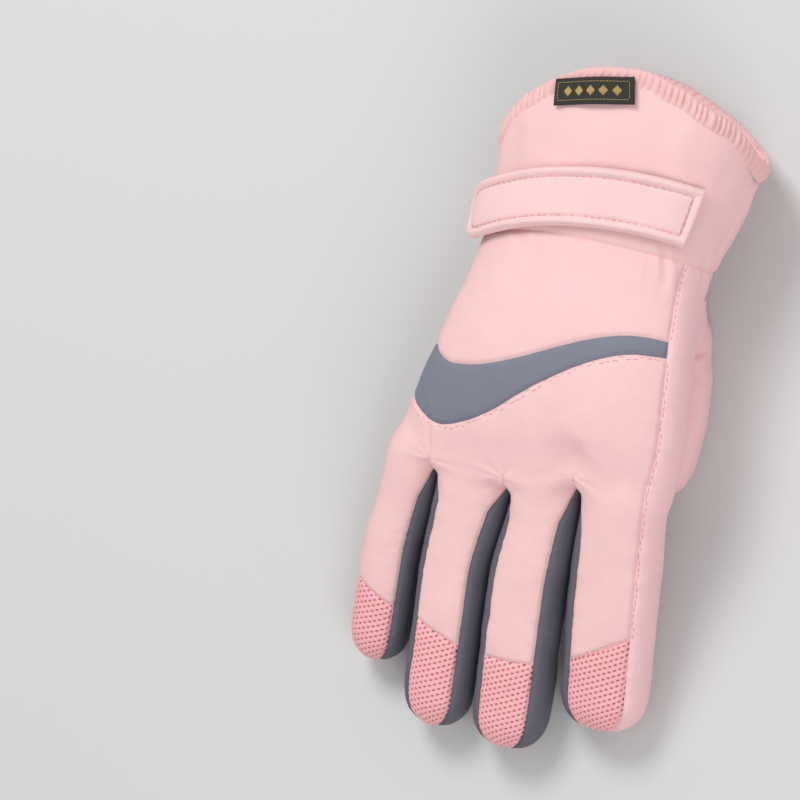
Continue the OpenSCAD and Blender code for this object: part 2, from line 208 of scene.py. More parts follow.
def smooth_verts(v, edges, rounds, factor=0.5):
    n = len(v)
    deg = np.bincount(edges.ravel(), minlength=n)[:, None]
    for _ in range(rounds):
        acc = np.zeros_like(v)
        for c in range(3):
            acc[:, c] = (np.bincount(edges[:, 0], v[edges[:, 1], c], n)
                         + np.bincount(edges[:, 1], v[edges[:, 0], c], n))
        v = v + factor * (acc / np.maximum(deg, 1) - v)
    return v


def set_uv(ob, uv):
    """One UV pair in metres for each point of the mesh."""
    me = ob.data
    loops = np.zeros(len(me.loops), int)
    me.loops.foreach_get("vertex_index", loops)
    me.uv_layers.new(name="UVMap").data.foreach_set("uv", np.asarray(uv)[loops].astype(np.float32).ravel())


def mesh_edges(me):
    e = np.zeros(len(me.edges) * 2, int)
    me.edges.foreach_get("vertices", e)
    return e.reshape(-1, 2)


def vertex_normals(v, t):
    n = np.cross(v[t[:, 1]] - v[t[:, 0]], v[t[:, 2]] - v[t[:, 0]])
    out = np.zeros_like(v)
    for k in range(3):
        for c in range(3):
            out[:, c] += np.bincount(t[:, k], n[:, c], len(v))
    return out / np.maximum(np.linalg.norm(out, axis=1), 1e-12)[:, None]


# ---------------------------------------------------------------- the skin, its fingers held apart at first
SPREAD = 4.2  # extra gap between neighbouring fingers, taken out again afterwards
FADE = 26.0  # the hand takes up the difference over this length
VOXEL = 0.0017  # in metres


def gap_x():
    """Line between each two fingers: x and y at the crotch, and the slope of x along y."""
    rows = []
    for a, b in zip(F[:-1], F[1:]):
        m = (a.root + a.side * a.a + (b.root - b.side * b.a)) / 2
        rows.append((m[0], m[1], (a.d[0] / a.d[1] + b.d[0] / b.d[1]) / 2))
    return rows


GAPS = gap_x()


def spread(p, inverse=False):
    """Moves points along X so that the fingers stand apart, or back."""
    fade = ease((p[:, 1] - OY + FADE) / FADE)
    shift, over_hand = np.zeros(len(p)), np.zeros(len(p))
    base, half = -SPREAD * 1.5, SPREAD / 2 + 0.3
    for k, (gx, gy, slope) in enumerate(GAPS):
        x = gx + slope * (p[:, 1] - gy)
        if inverse:
            x = x + (base + SPREAD * (k + 0.5))
            shift += SPREAD * np.clip((p[:, 0] - x + half) / (2 * half), 0, 1)
        else:
            shift += SPREAD * (p[:, 0] > x)
            over_hand += SPREAD * np.clip((p[:, 0] - gx + 9) / 18, 0, 1)
    shift += base
    if not inverse:
        # over the hand the change of shift is gradual across each finger
        shift = np.where(p[:, 1] < OY + 2, over_hand + base, shift)
    out = p.copy()
    out[:, 0] += (-1 if inverse else 1) * shift * fade
    return out


def finger_of(p):
    """Index of the finger whose side of the gaps each point is on."""
    k = np.zeros(len(p), int)
    for gx, gy, slope in GAPS:
        k += p[:, 0] > gx + slope * (p[:, 1] - gy)
    return k


def build_blank():
    """One soft surface for cuff, hand and fingers, by joining tubes and smoothing the joins."""
    us = np.arange(0, 360, 4.0)
    rings = []
    lean = oval(us, 60, 15, 3)[1] * math.tan(math.radians(15))
    for v in np.linspace(0, 1, 60):
        y = (hem_edge(us) - 7) * (1 - v) + (lean + 1.0) * v
        r = body_point(us, y)
        low = 0.1 * ease((r[:, 1] - OY + 16) / 18)
        r[:, 2] -= low * (r[:, 2] - 36)
        rings.append(r)
    last = rings[-1]
    mid = last.mean(0)
    for g, dy in ((0.97, 1.5), (0.90, 2.6), (0.75, 3.2)):
        r = mid + (last - mid) * np.array([1 - (1 - g) * 0.25, 1, g])
        r[:, 1] = last[:, 1] + dy
        rings.append(r)
    parts = [tube([spread(r) for r in rings])]
    for k, f in enumerate(F):
        s = np.concatenate([np.linspace(-20, f.length - ROUND_TIP, 40),
                            f.length - ROUND_TIP * (1 - np.sin(np.linspace(0, math.pi / 2, 14)[1:-1])),
                            [f.length - 0.02]])
        rr = []
        for x in s:
            p = f.point(us, x, 0.0 if x > 0 else 5.0 * ease(-x / 20))
            p += f.up * 1.3 * (1 - ease(x / 28))
            if x < 0:
                p[:, 0] += x * (-0.05, 0.05, 0.2, 0.45)[k]
            p[:, 0] += -SPREAD * 1.5 + SPREAD * k
            rr.append(p)
        parts.append(tube(rr))
    verts = np.concatenate([p[0] for p in parts])
    faces, off = [], 0
    for pv, pf in parts:
        faces += [tuple(i + off for i in q) for q in pf]
        off += len(pv)
    ob = new_object("blank", verts, faces)
    m = ob.modifiers.new("remesh", "REMESH")
    m.mode, m.voxel_size, m.adaptivity = "VOXEL", VOXEL, 0
    me = baked(ob)
    set_verts_mm(me, smooth_verts(verts_mm(me), mesh_edges(me), 8, 0.6))
    return me


def refined(me):
    """The mesh once subdivided, as triangles: vertices and triangle rows."""
    ob = bpy.data.objects.new("refined", me)
    bpy.context.scene.collection.objects.link(ob)
    ob.modifiers.new("sub", "SUBSURF").levels = 1
    ob.modifiers.new("tri", "TRIANGULATE")
    me = baked(ob)
    tri = np.zeros(len(me.polygons) * 3, int)
    me.polygons.foreach_get("vertices", tri)
    return verts_mm(me), tri.reshape(-1, 3)


V, T = refined(build_blank())
V = spread(V, inverse=True)


# ---------------------------------------------------------------- places on the glove
def angle_of(px, pz, a, b, n):
    """Angle u in -90..270 of a point near an oval, the inverse of oval()."""
    qx, qz = np.abs(px) / a, np.abs(pz) / b
    r = np.maximum((qx**n + qz**n) ** (1 / n), 1e-9)
    u = np.degrees(np.arctan2(np.sign(pz) * (qz / r) ** (n / 2), np.sign(px) * (qx / r) ** (n / 2)))
    return np.where(u < -90, u + 360, u)


U_TABLE = np.arange(-90, 271, 1.0)


def arc_row(a, b, n):
    """Distance round an oval from its lowest point, in mm, for each angle in U_TABLE."""
    x, z = oval(U_TABLE, a, b, n)
    return np.concatenate([[0], np.cumsum(np.hypot(np.diff(x), np.diff(z)))])


HAND_Y = np.linspace(-165, 12, 60)
HAND_ARC = np.array([arc_row(c[2], c[3], c[4]) for c in section(HAND_Y)])


def hand_arc(y, u):
    fy = np.clip((y - HAND_Y[0]) / (HAND_Y[1] - HAND_Y[0]), 0, len(HAND_Y) - 1.001)
    fu = np.clip(np.asarray(u, float) + 90, 0, 359.999)
    i, j = fy.astype(int), np.broadcast_to(fu, fy.shape).astype(int)
    a, b = fy - i, np.broadcast_to(fu, fy.shape) - j
    return ((HAND_ARC[i, j] * (1 - b) + HAND_ARC[i, j + 1] * b) * (1 - a)
            + (HAND_ARC[i + 1, j] * (1 - b) + HAND_ARC[i + 1, j + 1] * b) * a)


FINGER_ARC = [arc_row(f.a * 0.97, f.b * 0.97, FINGER_POWER) for f in F]


def finger_arc(k, u):
    out = np.zeros(np.shape(k))
    for i in range(4):
        out = np.where(k == i, np.interp(u, U_TABLE, FINGER_ARC[i]), out)
    return out


# where each fingertip patch begins, and how far its edge slants across the finger
PATCH_S = np.array([(58.5, -9), (71, -0.5), (67.5, 5), (60, 5)])
FAR = 60.0  # stands for a seam that a point has nothing to do with


def fields(p):
    """Everything that the seams and the shading need to know about points near the glove's surface."""
    x, y = p[:, 0] - OX, p[:, 1] - OY
    c = section(y)
    u = angle_of(x - c[:, 0], p[:, 2] - c[:, 1], c[:, 2], c[:, 3], c[:, 4])
    k = finger_of(p)
    s, px, pz, uf = np.zeros((4, len(p)))
    for i, q in enumerate(F):
        on = k == i
        px[on], s[on], pz[on] = q.local(p[on])
        a, b = q.size(np.clip(s[on], 0, q.length - 1.5))
        uf[on] = angle_of(px[on], pz[on], a, b, FINGER_POWER)
    w = ease((y + 10) / 14)
    ah, af = hand_arc(y, u), finger_arc(k, uf)
    d = {"x": x, "y": y, "u": u, "k": k.astype(float), "s": s, "px": px, "pz": pz, "uf": uf, "w": w}
    # long seams of hand and fingers, positive towards the back: A beside the strip, P beside the palm
    outer_i, outer_l = (k == 0) & (px < 0), (k == 3) & (px > 0)
    d["A"] = (hand_arc(y, 152) - ah) * (1 - w) + np.where(outer_i, finger_arc(k, 132) - af, FAR) * w
    beside = np.where(outer_l, af - finger_arc(k, -46), np.clip(pz * 3, -FAR, FAR))
    beside = np.where(outer_i, finger_arc(k, 226) - af, beside)
    d["P"] = np.minimum(hand_arc(y, 203) - ah, ah - hand_arc(y, 2)) * (1 - w) + beside * w
    # gussets between the fingers: narrow at the crotch, then the whole side
    half = 46 * np.clip((s - 1.5) / 16, -1, 1)
    half = np.where(half > 0, 46 * np.clip(half / 46, 0, 1) ** 0.75 + 2, half)
    near = np.minimum(finger_arc(k, half) - af, af - finger_arc(k, -half))
    far = np.minimum(finger_arc(k, 180 + half) - af, af - finger_arc(k, 180 - half))
    g = np.where(px > 0, np.where(k < 3, near, -FAR), np.where(k > 0, far, -FAR))
    d["G"] = np.where(s > 0.5, g, -FAR * 0.2)
    d["patch"] = s - (PATCH_S[k, 0] - PATCH_S[k, 1] * px / np.array(FULL_W)[k])
    # the grey band: wide near the little finger, narrow and nearer the wrist at the thumb's side
    top = np.where(x > 27, -32 - 3.5 * ((x - 27) / 9) ** 2, -32 - 26 * ease((27 - x) / 77))
    q = np.clip((31 - x) / 76, 0, 1)
    low = np.where(x > 31, -8.4 - 5.3 * ((x - 31) / 13) ** 2,
                   -8.4 - 42.4 * (0.6 * ease(q) + 0.4 * q) - 0.14 * np.maximum(0, -45 - x))
    d["top"], d["low"] = y - top, y - low
    d["wrist"] = y - (-87.5 + 7 * np.clip((x + 10) / 46, 0, 1.2) ** 2)
    d["hem"] = y - hem_edge(u)
    d["cuffside"] = np.where((u > 90) & (u < 270), hand_arc(y, 180) - ah, ah - hand_arc(y, 2))
    d["ah"], d["af"] = ah, af
    return d


# ---------------------------------------------------------------- cutting the surface along its seams
def cut(v, t, r, f, name, where, region, eps=0.06):
    """Splits the triangles of `where` along name = 0 and gives those above it `region`. v and f grow."""
    g = f[name].copy()
    g[np.abs(g) < eps] = eps
    sel = np.where(where)[0]
    count = (g[t[sel]] > 0).sum(1)
    r = r.copy()
    r[sel[count == 3]] = region
    split = sel[(count > 0) & (count < 3)]
    if not len(split):
        return v, t, r, f
    tt = t[split]
    above = g[tt] > 0
    lone = np.where(above.sum(1) == 1, above.argmax(1), (~above).argmax(1))
    rows = np.arange(len(tt))
    a, b, c = tt[rows, lone], tt[rows, (lone + 1) % 3], tt[rows, (lone + 2) % 3]
    e = np.sort(np.concatenate([np.stack([a, b], 1), np.stack([a, c], 1)]), axis=1)
    key, inv = np.unique(e, axis=0, return_inverse=True)
    inv = inv.ravel()
    g0, g1 = g[key[:, 0]], g[key[:, 1]]
    q = g0 / (g0 - g1)
    first_new = len(v)
    v = np.concatenate([v, v[key[:, 0]] * (1 - q)[:, None] + v[key[:, 1]] * q[:, None]])
    for field in f:
        f[field] = np.concatenate([f[field], f[field][key[:, 0]] * (1 - q) + f[field][key[:, 1]] * q])
    f["k"] = np.round(f["k"])
    ab, ac = first_new + inv[:len(tt)], first_new + inv[len(tt):]
    lone_above = above[rows, lone]
    r_lone = np.where(lone_above, region, r[split])
    r_rest = np.where(lone_above, r[split], region)
    whole = np.ones(len(t), bool)
    whole[split] = False
    t = np.concatenate([t[whole]] + [np.stack(q3, 1) for q3 in ((a, ab, ac), (ab, b, c), (ab, c, ac))])
    r = np.concatenate([r[whole], r_lone, r_rest, r_rest])
    return v, t, r, f


BACK, GONE, CUFF_BACK, CUFF_PALM, PALM, SIDE, BAND, UPPER, GUSSET, PATCH = range(10)
f = fields(V)
R = np.full(len(T), GONE)
for field, inside, region in (
        ("hem", [GONE], CUFF_PALM), ("cuffside", [CUFF_PALM], CUFF_BACK),
        ("wrist", [CUFF_BACK, CUFF_PALM], PALM),
        ("P", [PALM], SIDE), ("A", [SIDE], UPPER), ("top", [UPPER], BAND), ("low", [BAND], BACK),
        ("G", [BACK, PALM], GUSSET), ("patch", [BACK], PATCH)):
    V, T, R, f = cut(V, T, R, f, field, np.isin(R, inside), region)
# what is left of the blank's flat end inside the cuff goes too
c = section(f["y"])
RADIUS = np.hypot((V[:, 0] - OX - c[:, 0]) / c[:, 2], (V[:, 2] - c[:, 1]) / c[:, 3])
keep = (R != GONE) & ~((RADIUS[T].mean(1) < 0.8) & (f["y"][T].mean(1) < -100))
T, R = T[keep], R[keep]


def zone_of(f, t):
    """0 for hand and cuff, else 1 + 2 * finger for its first length and 2 + 2 * finger for its end."""
    s = f["s"][t].mean(1)
    k = np.round(f["k"][t].mean(1)).astype(int)
    y = f["y"][t].mean(1)
    mid = np.array([(q.curl_s - 12 + 24.5) / 2 for q in F])[k]
    return np.where((s < 0.5) | (y < -6), 0, 1 + 2 * k + (s > mid))


Z = zone_of(f, T)


# ---------------------------------------------------------------- materials
def srgb(r, g, b):
    return tuple(((c / 255 + 0.055) / 1.055) ** 2.4 if c > 10 else c / 255 / 12.92 for c in (r, g, b)) + (1,)


class Nodes:
    """Small helper that adds and joins shader nodes."""

    def __init__(self, name):
        self.mat = bpy.data.materials.new(name)
        self.mat.use_nodes = True
        self.t = self.mat.node_tree
        self.bsdf = self.t.nodes["Principled BSDF"]

    def add(self, kind):
        return self.t.nodes.new(kind)

    def link(self, a, b):
        self.t.links.new(a, b)

    def put(self, q, socket):
        """A constant, or another node's output, into a socket."""
        if hasattr(q, "is_output"):
            self.link(q, socket)
        else:
            socket.default_value = q

    def math(self, op, a, b):
        n = self.add("ShaderNodeMath")
        n.operation = op
        self.put(a, n.inputs[0])
        self.put(b, n.inputs[1])
        return n.outputs[0]

    def noise(self, scale, detail, coords):
        n = self.add("ShaderNodeTexNoise")
        n.inputs["Scale"].default_value = scale
        n.inputs["Detail"].default_value = detail
        self.link(coords, n.inputs["Vector"])
        return n.outputs["Fac"]

    def mixed(self, fac, a, b, blend="MIX"):
        n = self.add("ShaderNodeMix")
        n.data_type, n.blend_type = "RGBA", blend
        for i, q in ((0, fac), (6, a), (7, b)):
            self.put(q, n.inputs[i])
        return n.outputs[2]


def weave(m, uv, pitch):
    """Height of a plain weave, from the piece's own UV, which is in metres along and across the thread."""
    sep = m.add("ShaderNodeSeparateXYZ")
    m.link(uv, sep.inputs[0])
    a, b = (m.math("SINE", m.math("MULTIPLY", sep.outputs[i], 2 * math.pi / pitch), 0.0) for i in (0, 1))
    return m.math("MULTIPLY", a, b)


def fabric(name, colour, dark=0.93, rough=0.72, sheen=0.25, pitch=0.0008, bump=0.25, fuzz=0.0, dent_shade=None):
    """Woven cloth, clouded between its colour and a darker one, with painted light and shade on its weave;
    the last colour, if given, is painted shade inside its dents.
    """
    m = Nodes(name)
    uv = m.add("ShaderNodeUVMap").outputs[0]
    pos = m.add("ShaderNodeTexCoord").outputs["Object"]
    h = weave(m, uv, pitch)
    cloud = m.noise(60, 3, pos)
    fine = m.noise(1500, 2, pos)
    clouded = m.math("MULTIPLY", m.math("SUBTRACT", cloud, 0.3), 1.4)
    base = m.mixed(clouded, tuple(c * dark for c in colour[:3]) + (1,), colour)
    grain = m.math("ADD", 0.965, m.math("MULTIPLY", m.math("SUBTRACT", fine, 0.5), 0.10))
    # random grain times painted light and shade on the weave: its crowns are painted lighter, its hollows
    # darker
    grain_and_weave_shade = m.math("ADD", m.math("MULTIPLY", h, 0.035), grain)
    grey = m.add("ShaderNodeCombineColor")
    for i in range(3):
        m.link(grain_and_weave_shade, grey.inputs[i])
    out = m.mixed(1, base, grey.outputs[0], "MULTIPLY")
    if dent_shade:
        # painted shade: where the dent attribute is high, the colour is mixed towards the darker dent colour
        at = m.add("ShaderNodeAttribute")
        at.attribute_name = "dent"
        out = m.mixed(at.outputs["Fac"], out, dent_shade)
    m.link(out, m.bsdf.inputs["Base Color"])
    m.link(m.math("ADD", rough - 0.05, m.math("MULTIPLY", cloud, 0.1)), m.bsdf.inputs["Roughness"])
    for socket, value in (("Sheen Weight", sheen), ("Sheen Roughness", 0.4), ("Sheen Tint", colour),
                          ("Specular IOR Level", 0.3)):
        m.bsdf.inputs[socket].default_value = value
    bmp = m.add("ShaderNodeBump")
    bmp.inputs["Strength"].default_value = bump
    bmp.inputs["Distance"].default_value = 0.0002
    m.link(m.math("ADD", h, m.math("MULTIPLY", fine, 1.5 + fuzz)), bmp.inputs["Height"])
    m.link(bmp.outputs[0], m.bsdf.inputs["Normal"])
    return m.mat


PINK = fabric("pink_nylon", srgb(251, 207, 206))
PINK_SIDE = fabric("pink_side_nylon", srgb(252, 206, 209))
PINK_PALM = fabric("pink_palm", srgb(248, 200, 203), rough=0.66, pitch=0.0011)
GREY_BAND = fabric("grey_nylon", srgb(132, 134, 148), dark=0.9)
GREY_GUSSET = fabric("grey_gusset", srgb(104, 103, 114), dark=0.9)


# ---------------------------------------------------------------- surface relief
rng = np.random.default_rng(7)  # a fixed seed, so that every run is the same
TABLES = {k: rng.uniform(-1, 1, 4096) for k in "abcdefgh"}


def wave1(key, x):
    """Smooth one-dimensional noise in -1..1."""
    t = TABLES[key]
    x = np.asarray(x, float) + 1000
    i = np.floor(x).astype(int)
    q = x - i
    q = q * q * (3 - 2 * q)
    return t[i % 4096] * (1 - q) + t[(i + 1) % 4096] * q


def noise3(p, scale, seed=0.0):
    shift = np.array([seed, -seed, 0.0])
    return np.array([noise.noise(Vector(q)) for q in p / scale + shift])


def relief(p, f):
    """Height of the fabric over its smooth surface: puffed panels, sunk seams and the puckers beside them."""
    back_hand = (f["u"] > -20) & (f["u"] < 200)
    in_finger = f["s"] > 0.5
    hand = f["y"] < 0
    lng = np.abs(f["A"])
    lng = np.minimum(lng, np.where(in_finger & ((f["k"] == 1) | (f["k"] == 2)), 99, np.abs(f["P"])))
    lng = np.minimum(lng, np.abs(f["G"]))
    lng = np.where(f["wrist"] < 0, np.abs(f["cuffside"]), lng)
    dorsal = (f["P"] > 0) & (f["wrist"] > 0)
    main = dorsal & (f["A"] > 0)
    crc = np.minimum(np.abs(f["wrist"]), np.abs(f["hem"]))
    band = np.minimum(np.abs(f["top"]), np.abs(f["low"]))
    crc = np.minimum(crc, np.where(main, band, 99))
    crc = np.minimum(crc, np.where(main & in_finger & (f["G"] < 0), np.abs(f["patch"]), 99))
    d = np.minimum(lng, crc)
    along = np.where(hand, f["y"], f["s"] + 40 * f["k"])
    round_ = np.where(hand, f["ah"], f["af"] + 50 * f["k"])
    h = -0.75 * np.exp(-(d / 0.9) ** 2) + 0.55 * (1 - np.exp(-d / 5))
    h += 0.20 * np.exp(-lng / 3.2) * wave1("a", along / 1.9)
    h += 0.16 * np.exp(-lng / 6.5) * wave1("b", along / 4.2)
    h += 0.16 * np.exp(-crc / 3.5) * wave1("c", round_ / 2.0)
    h += 0.10 * np.exp(-crc / 7.0) * wave1("d", round_ / 4.6)
    # gathers where the wrist is drawn in
    draw = np.exp(-((f["y"] + 86) / 9) ** 2)
    h += 0.7 * draw * wave1("e", f["ah"] / 3.0) * np.where(back_hand & (f["x"] > -38), 0.25, 1.0)
    # soft folds fan out over the cuff from where the strap pulls it in
    cuff = ease((-92 - f["y"]) / 14) * ease((f["hem"] - 6) / 8)
    h += 0.55 * cuff * wave1("g", (f["ah"] + 0.25 * f["y"]) / 9.0)
    # slack across the back and along the fingers
    h += 0.22 * (1 - cuff) * wave1("h", (f["y"] + 0.5 * f["x"]) / 9.0) * np.exp(-lng / 12)
    # radial puckers round each crotch
    for i, (gx, gy, slope) in enumerate(GAPS):
        q = p - np.array([gx + slope * 4, OY + 5, 47])
        rr = np.linalg.norm(q[:, :2], axis=1)
        ang = np.degrees(np.arctan2(q[:, 0], -q[:, 1]))
        h += 0.42 * np.exp(-(rr / 9) ** 1.5) * wave1("f", ang / 13 + 40 * i) * (f["pz"] > 0)
    return h


H = relief(V, f)
lumps = 0.35 * noise3(V, 16, 3.1) + 0.18 * noise3(V, 7, 8.7)
H += lumps * np.clip(np.minimum(np.abs(f["G"]), 6) / 6, 0.3, 1)
V = V + vertex_normals(V, T) * H[:, None]


def lean(p):
    """Bends the gaps between the fingers towards the thumb's side near the hand."""
    s = p[:, 1] - OY
    rise, fall = ease((s + 34) / 34), 1 - ease((s - 4) / 42)
    gx = [g[0] for g in GAPS]
    places = [gx[0] - 26, gx[0], gx[1], gx[2], gx[2] + 13, gx[2] + 30]
    a = np.interp(p[:, 0], places, [0, 2.6, 6.4, 3.6, 5.0, 6.0])
    out = p.copy()
    out[:, 0] -= a * rise * fall
    near = np.exp(-((p[:, 0] - gx[0]) / 11) ** 2) * ease((s + 22) / 22) * (1 - ease((s - 6) / 26))
    out[:, 1] -= 6.0 * near
    return out


V = lean(V)


# ---------------------------------------------------------------- pieces
def settle(ob, blend=None, body=None, replaces=()):
    """Bakes the transform of a piece that is given a blend, else parents it to one body; hides the nodes it
    stands for.
    """
    if blend:
        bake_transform(ob)
    else:
        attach(ob, body)
    if replaces:
        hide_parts(*replaces)


def piece(name, t, normals, mat, blend, nodes):
    """One named object from triangles t of the skin, with the normals of its own region."""
    used, inv = np.unique(t.ravel(), return_inverse=True)
    ob = new_object(name, V[used], inv.reshape(-1, 3))
    hand = f["y"][used] < 0
    across = np.where(hand, f["ah"][used], f["af"][used] + 7)
    set_uv(ob, np.stack([across, np.where(hand, f["y"][used], f["s"][used])], 1) / 1000)
    ob.data.normals_split_custom_set_from_vertices(normals[used].tolist())
    ob.data.materials.append(mat)
    settle(ob, blend, None, nodes)
    return ob


def row(p):
    return tuple(float(c) / 1000 for c in p)


WRIST_BLEND = ("hand", "cuff", row(WRIST + [0, 13, 0]), row(WRIST + [0, -13, 0]))


def zone_blend(z):
    """The two bodies that a zone of the skin moves between, and where the change begins and ends."""
    if z == 0:
        return WRIST_BLEND
    i, tip = (z - 1) // 2, (z - 1) % 2
    q = F[i]
    if not tip:
        return ("hand", q.name + "_finger", row(q.root + q.d * 1.5), row(q.root + q.d * 25))
    a, b = (row(q.root + q.d * (q.curl_s + side)) for side in (-12, 12))
    return (q.name + "_finger", q.name + "_tip", a, b)


def nodes_of(r, z):
    """The CAD nodes that the piece of region r in zone z stands for."""
    if z == 0:
        return {BACK: ["back_lower_panel"], BAND: ["back_wave_band"], UPPER: ["back_upper_panel"],
                PALM: ["palm_panel"], SIDE: ["index_side_panel"], CUFF_BACK: ["cuff_back_panel"],
                CUFF_PALM: ["cuff_palm_panel"]}.get(r, [])
    n = FINGERS[(z - 1) // 2]
    end = "_tip" if (z - 1) % 2 else ""
    web = "_fourchette" if n in ("index", "little") else "_fourchettes"
    return {BACK: [] if end else [n + "_back"], PATCH: [n + "_tip_patch"], SIDE: [n + end + "_outer_side"],
            PALM: [n + end + "_palm", n + end + "_liner"], GUSSET: [n + end + web]}.get(r, [])


LOOK = {BACK: ("back", PINK), CUFF_BACK: ("cuff_back", PINK), CUFF_PALM: ("cuff_palm", PINK_SIDE),
        PALM: ("palm", PINK_PALM), SIDE: ("side", PINK_SIDE), BAND: ("band", GREY_BAND),
        UPPER: ("upper", PINK), GUSSET: ("fourchette", GREY_GUSSET)}
for r, (label, mat) in LOOK.items():
    normals = vertex_normals(V, T[R == r])
    for z in range(9):
        tz = T[(R == r) & (Z == z)]
        if len(tz) < 4:
            continue
        zone = "hand" if z == 0 else FINGERS[(z - 1) // 2] + ("_root" if z % 2 else "_end")
        nodes = [n for n in nodes_of(r, z) if n in frame["nodes"]]
        ob = piece("shell_%s_%s" % (zone, label), tz, normals, mat, zone_blend(z), nodes)


# ---------------------------------------------------------------- fingertip and palm grips
def split4(t, *values):
    """Each triangle as four, with the rows of every array in the middle of each edge added."""
    e = np.sort(np.stack([t[:, [0, 1]], t[:, [1, 2]], t[:, [2, 0]]], 1), axis=2).reshape(-1, 2)
    pairs, inv = np.unique(e, axis=0, return_inverse=True)
    m = inv.reshape(-1, 3) + len(values[0])
    new = [np.concatenate([a, a[pairs].mean(1)]) for a in values]
    a, b, c = t[:, 0], t[:, 1], t[:, 2]
    tt = np.concatenate([np.stack(x, 1) for x in ((a, m[:, 0], m[:, 2]), (m[:, 0], b, m[:, 1]),
                                                  (m[:, 2], m[:, 1], c), (m[:, 0], m[:, 1], m[:, 2]))])
    return [tt] + new


def dents(x, y, pitch=2.2, gap=2.0, slant=-24):
    """1 in the middle of each oval dent, 0 between them: rows of dents that rise to one side."""
    c, s = math.cos(math.radians(slant)), math.sin(math.radians(slant))
    a, b = x * c + y * s, y * c - x * s
    i = np.round(b / gap)
    a = a - pitch * 0.5 * (i % 2)
    a = a - pitch * np.round(a / pitch)
    b = b - gap * i
    r2 = (a / (0.30 * pitch)) ** 2 + (b / (0.21 * gap)) ** 2
    return np.exp(-(r2 ** 1.6))


def add_dent_attribute(ob, d):
    # this dent mask also places the painted shade of the grip materials
    at = ob.data.attributes.new("dent", "FLOAT", "POINT")
    at.data.foreach_set("value", np.asarray(d, np.float32))


def grip_material(name, colour, dent_shade):
    return fabric(name, colour, dark=0.96, rough=0.5, sheen=0.1, pitch=0.0006, bump=0.15, dent_shade=dent_shade)


# the second colour of each grip is painted shade, laid into the bottom of its dents
GRIP = grip_material("dented_grip", srgb(252, 186, 189), srgb(188, 104, 111))
GRIP_PALM = grip_material("palm_grip", srgb(126, 126, 138), srgb(66, 66, 76))
normals = vertex_normals(V, T[R == PATCH])
for z in range(1, 9):
    tz = T[(R == PATCH) & (Z == z)]
    if len(tz) < 4:
        continue
    used, inv = np.unique(tz.ravel(), return_inverse=True)
    tt, v, n, x, y = split4(*split4(inv.reshape(-1, 3), V[used], normals[used], f["af"][used], f["s"][used]))
    n = n / np.linalg.norm(n, axis=1)[:, None]
    d = dents(x, y)
    zone = FINGERS[(z - 1) // 2] + ("" if z % 2 else "_end")
    ob = new_object("shell_%s_patch" % zone, v - n * (0.55 * d)[:, None], tt)
    add_dent_attribute(ob, d)
    ob.data.materials.append(GRIP)
    set_uv(ob, np.stack([x, y], 1) / 1000)
    nodes = [m for m in nodes_of(PATCH, z) if m in frame["nodes"] and z % 2 == 0]
    settle(ob, zone_blend(z), None, nodes)

TREE = BVHTree.FromPolygons(V.tolist(), T.tolist())


def on_skin(points, lift=0.0):
    """The nearest places on the glove's surface, raised by lift, and the triangles they are on."""
    out, tri = [], []
    for p in points:
        q, n, k, _ = TREE.find_nearest(Vector(p))
        out.append(np.array(q) + np.array(n) * lift)
        tri.append(k)
    return np.array(out), np.array(tri)


def run_length(p):
    """Distance from the first of the points p to each of them, along the line through them."""
    return np.concatenate([[0], np.cumsum(np.linalg.norm(np.diff(p, axis=0), axis=1))])


def skin_pad(name, u_span, y_span, mat, body, lift, counts, corner, dented=False):
    """A thin patch sewn on the skin between two angles and two lines y(u), with round corners."""
    nu, nv = counts
    grid_u, grid_w = np.meshgrid(np.linspace(*u_span, nu), np.linspace(0, 1, nv))
    ya, yb = (line(grid_u) for line in y_span)
    grid_y = ya + (yb - ya) * grid_w
    flat, _ = on_skin(body_point(grid_u.ravel(), grid_y.ravel()))
    skin = flat.reshape(nv, nu, 3)
    lx, ly = run_length(skin[nv // 2]), run_length(skin[:, nu // 2])
    x, y = np.meshgrid(lx, ly)
    ex, ey = np.minimum(x, lx[-1] - x), np.minimum(y, ly[-1] - y)
    cx, cy = np.maximum(corner - ex, 0), np.maximum(corner - ey, 0)
    e = np.where((cx > 0) & (cy > 0), corner - np.hypot(cx, cy), np.minimum(ex, ey)).ravel()
    q = grid_faces(nu, nv)
    n = vertex_normals(flat, np.concatenate([q[:, [0, 1, 2]], q[:, [0, 2, 3]]]))
    c = section(grid_y.ravel())
    mid = np.stack([c[:, 0] + OX, flat[:, 1], c[:, 1]], 1)
    inward = (n * (flat - mid)).sum(1).mean() < 0
    if inward:
        n = -n
    rise = lift * np.clip(e / 0.6, 0, 1) ** 0.5 - 0.35 * np.exp(-((e - 1.9) / 0.4) ** 2)
    rise = np.where(e < 0, -1.2, rise)
    d = dents(x.ravel(), y.ravel(), 2.6, 2.3, 0) * (e > 3.0) if dented else np.zeros(len(flat))
    v = flat + n * (rise - 0.5 * d)[:, None]
    q = q[(e[q] > -0.5).any(1)]
    uv, node = np.stack([x.ravel(), y.ravel()], 1) / 1000, PAD_NODE[name]
    ob = finish_grid(name, v, q, uv, mat, None, body, (node,), flip=inward)
    if dented:
        add_dent_attribute(ob, d)


PAD_NODE = {"palm_grip": "palm_grip_patch", "loop_patch": "strap_loop_patch"}


# ---------------------------------------------------------------- stitches along the seams
def shared_edges(t):
    e = np.sort(np.concatenate([t[:, [0, 1]], t[:, [1, 2]], t[:, [2, 0]]]), axis=1)
    tri = np.tile(np.arange(len(t)), 3)
    order = np.lexsort((e[:, 1], e[:, 0]))
    e, tri = e[order], tri[order]
    same = (e[1:] == e[:-1]).all(1)
    return e[:-1][same], tri[:-1][same], tri[1:][same]


EDGE, TRI0, TRI1 = shared_edges(T)


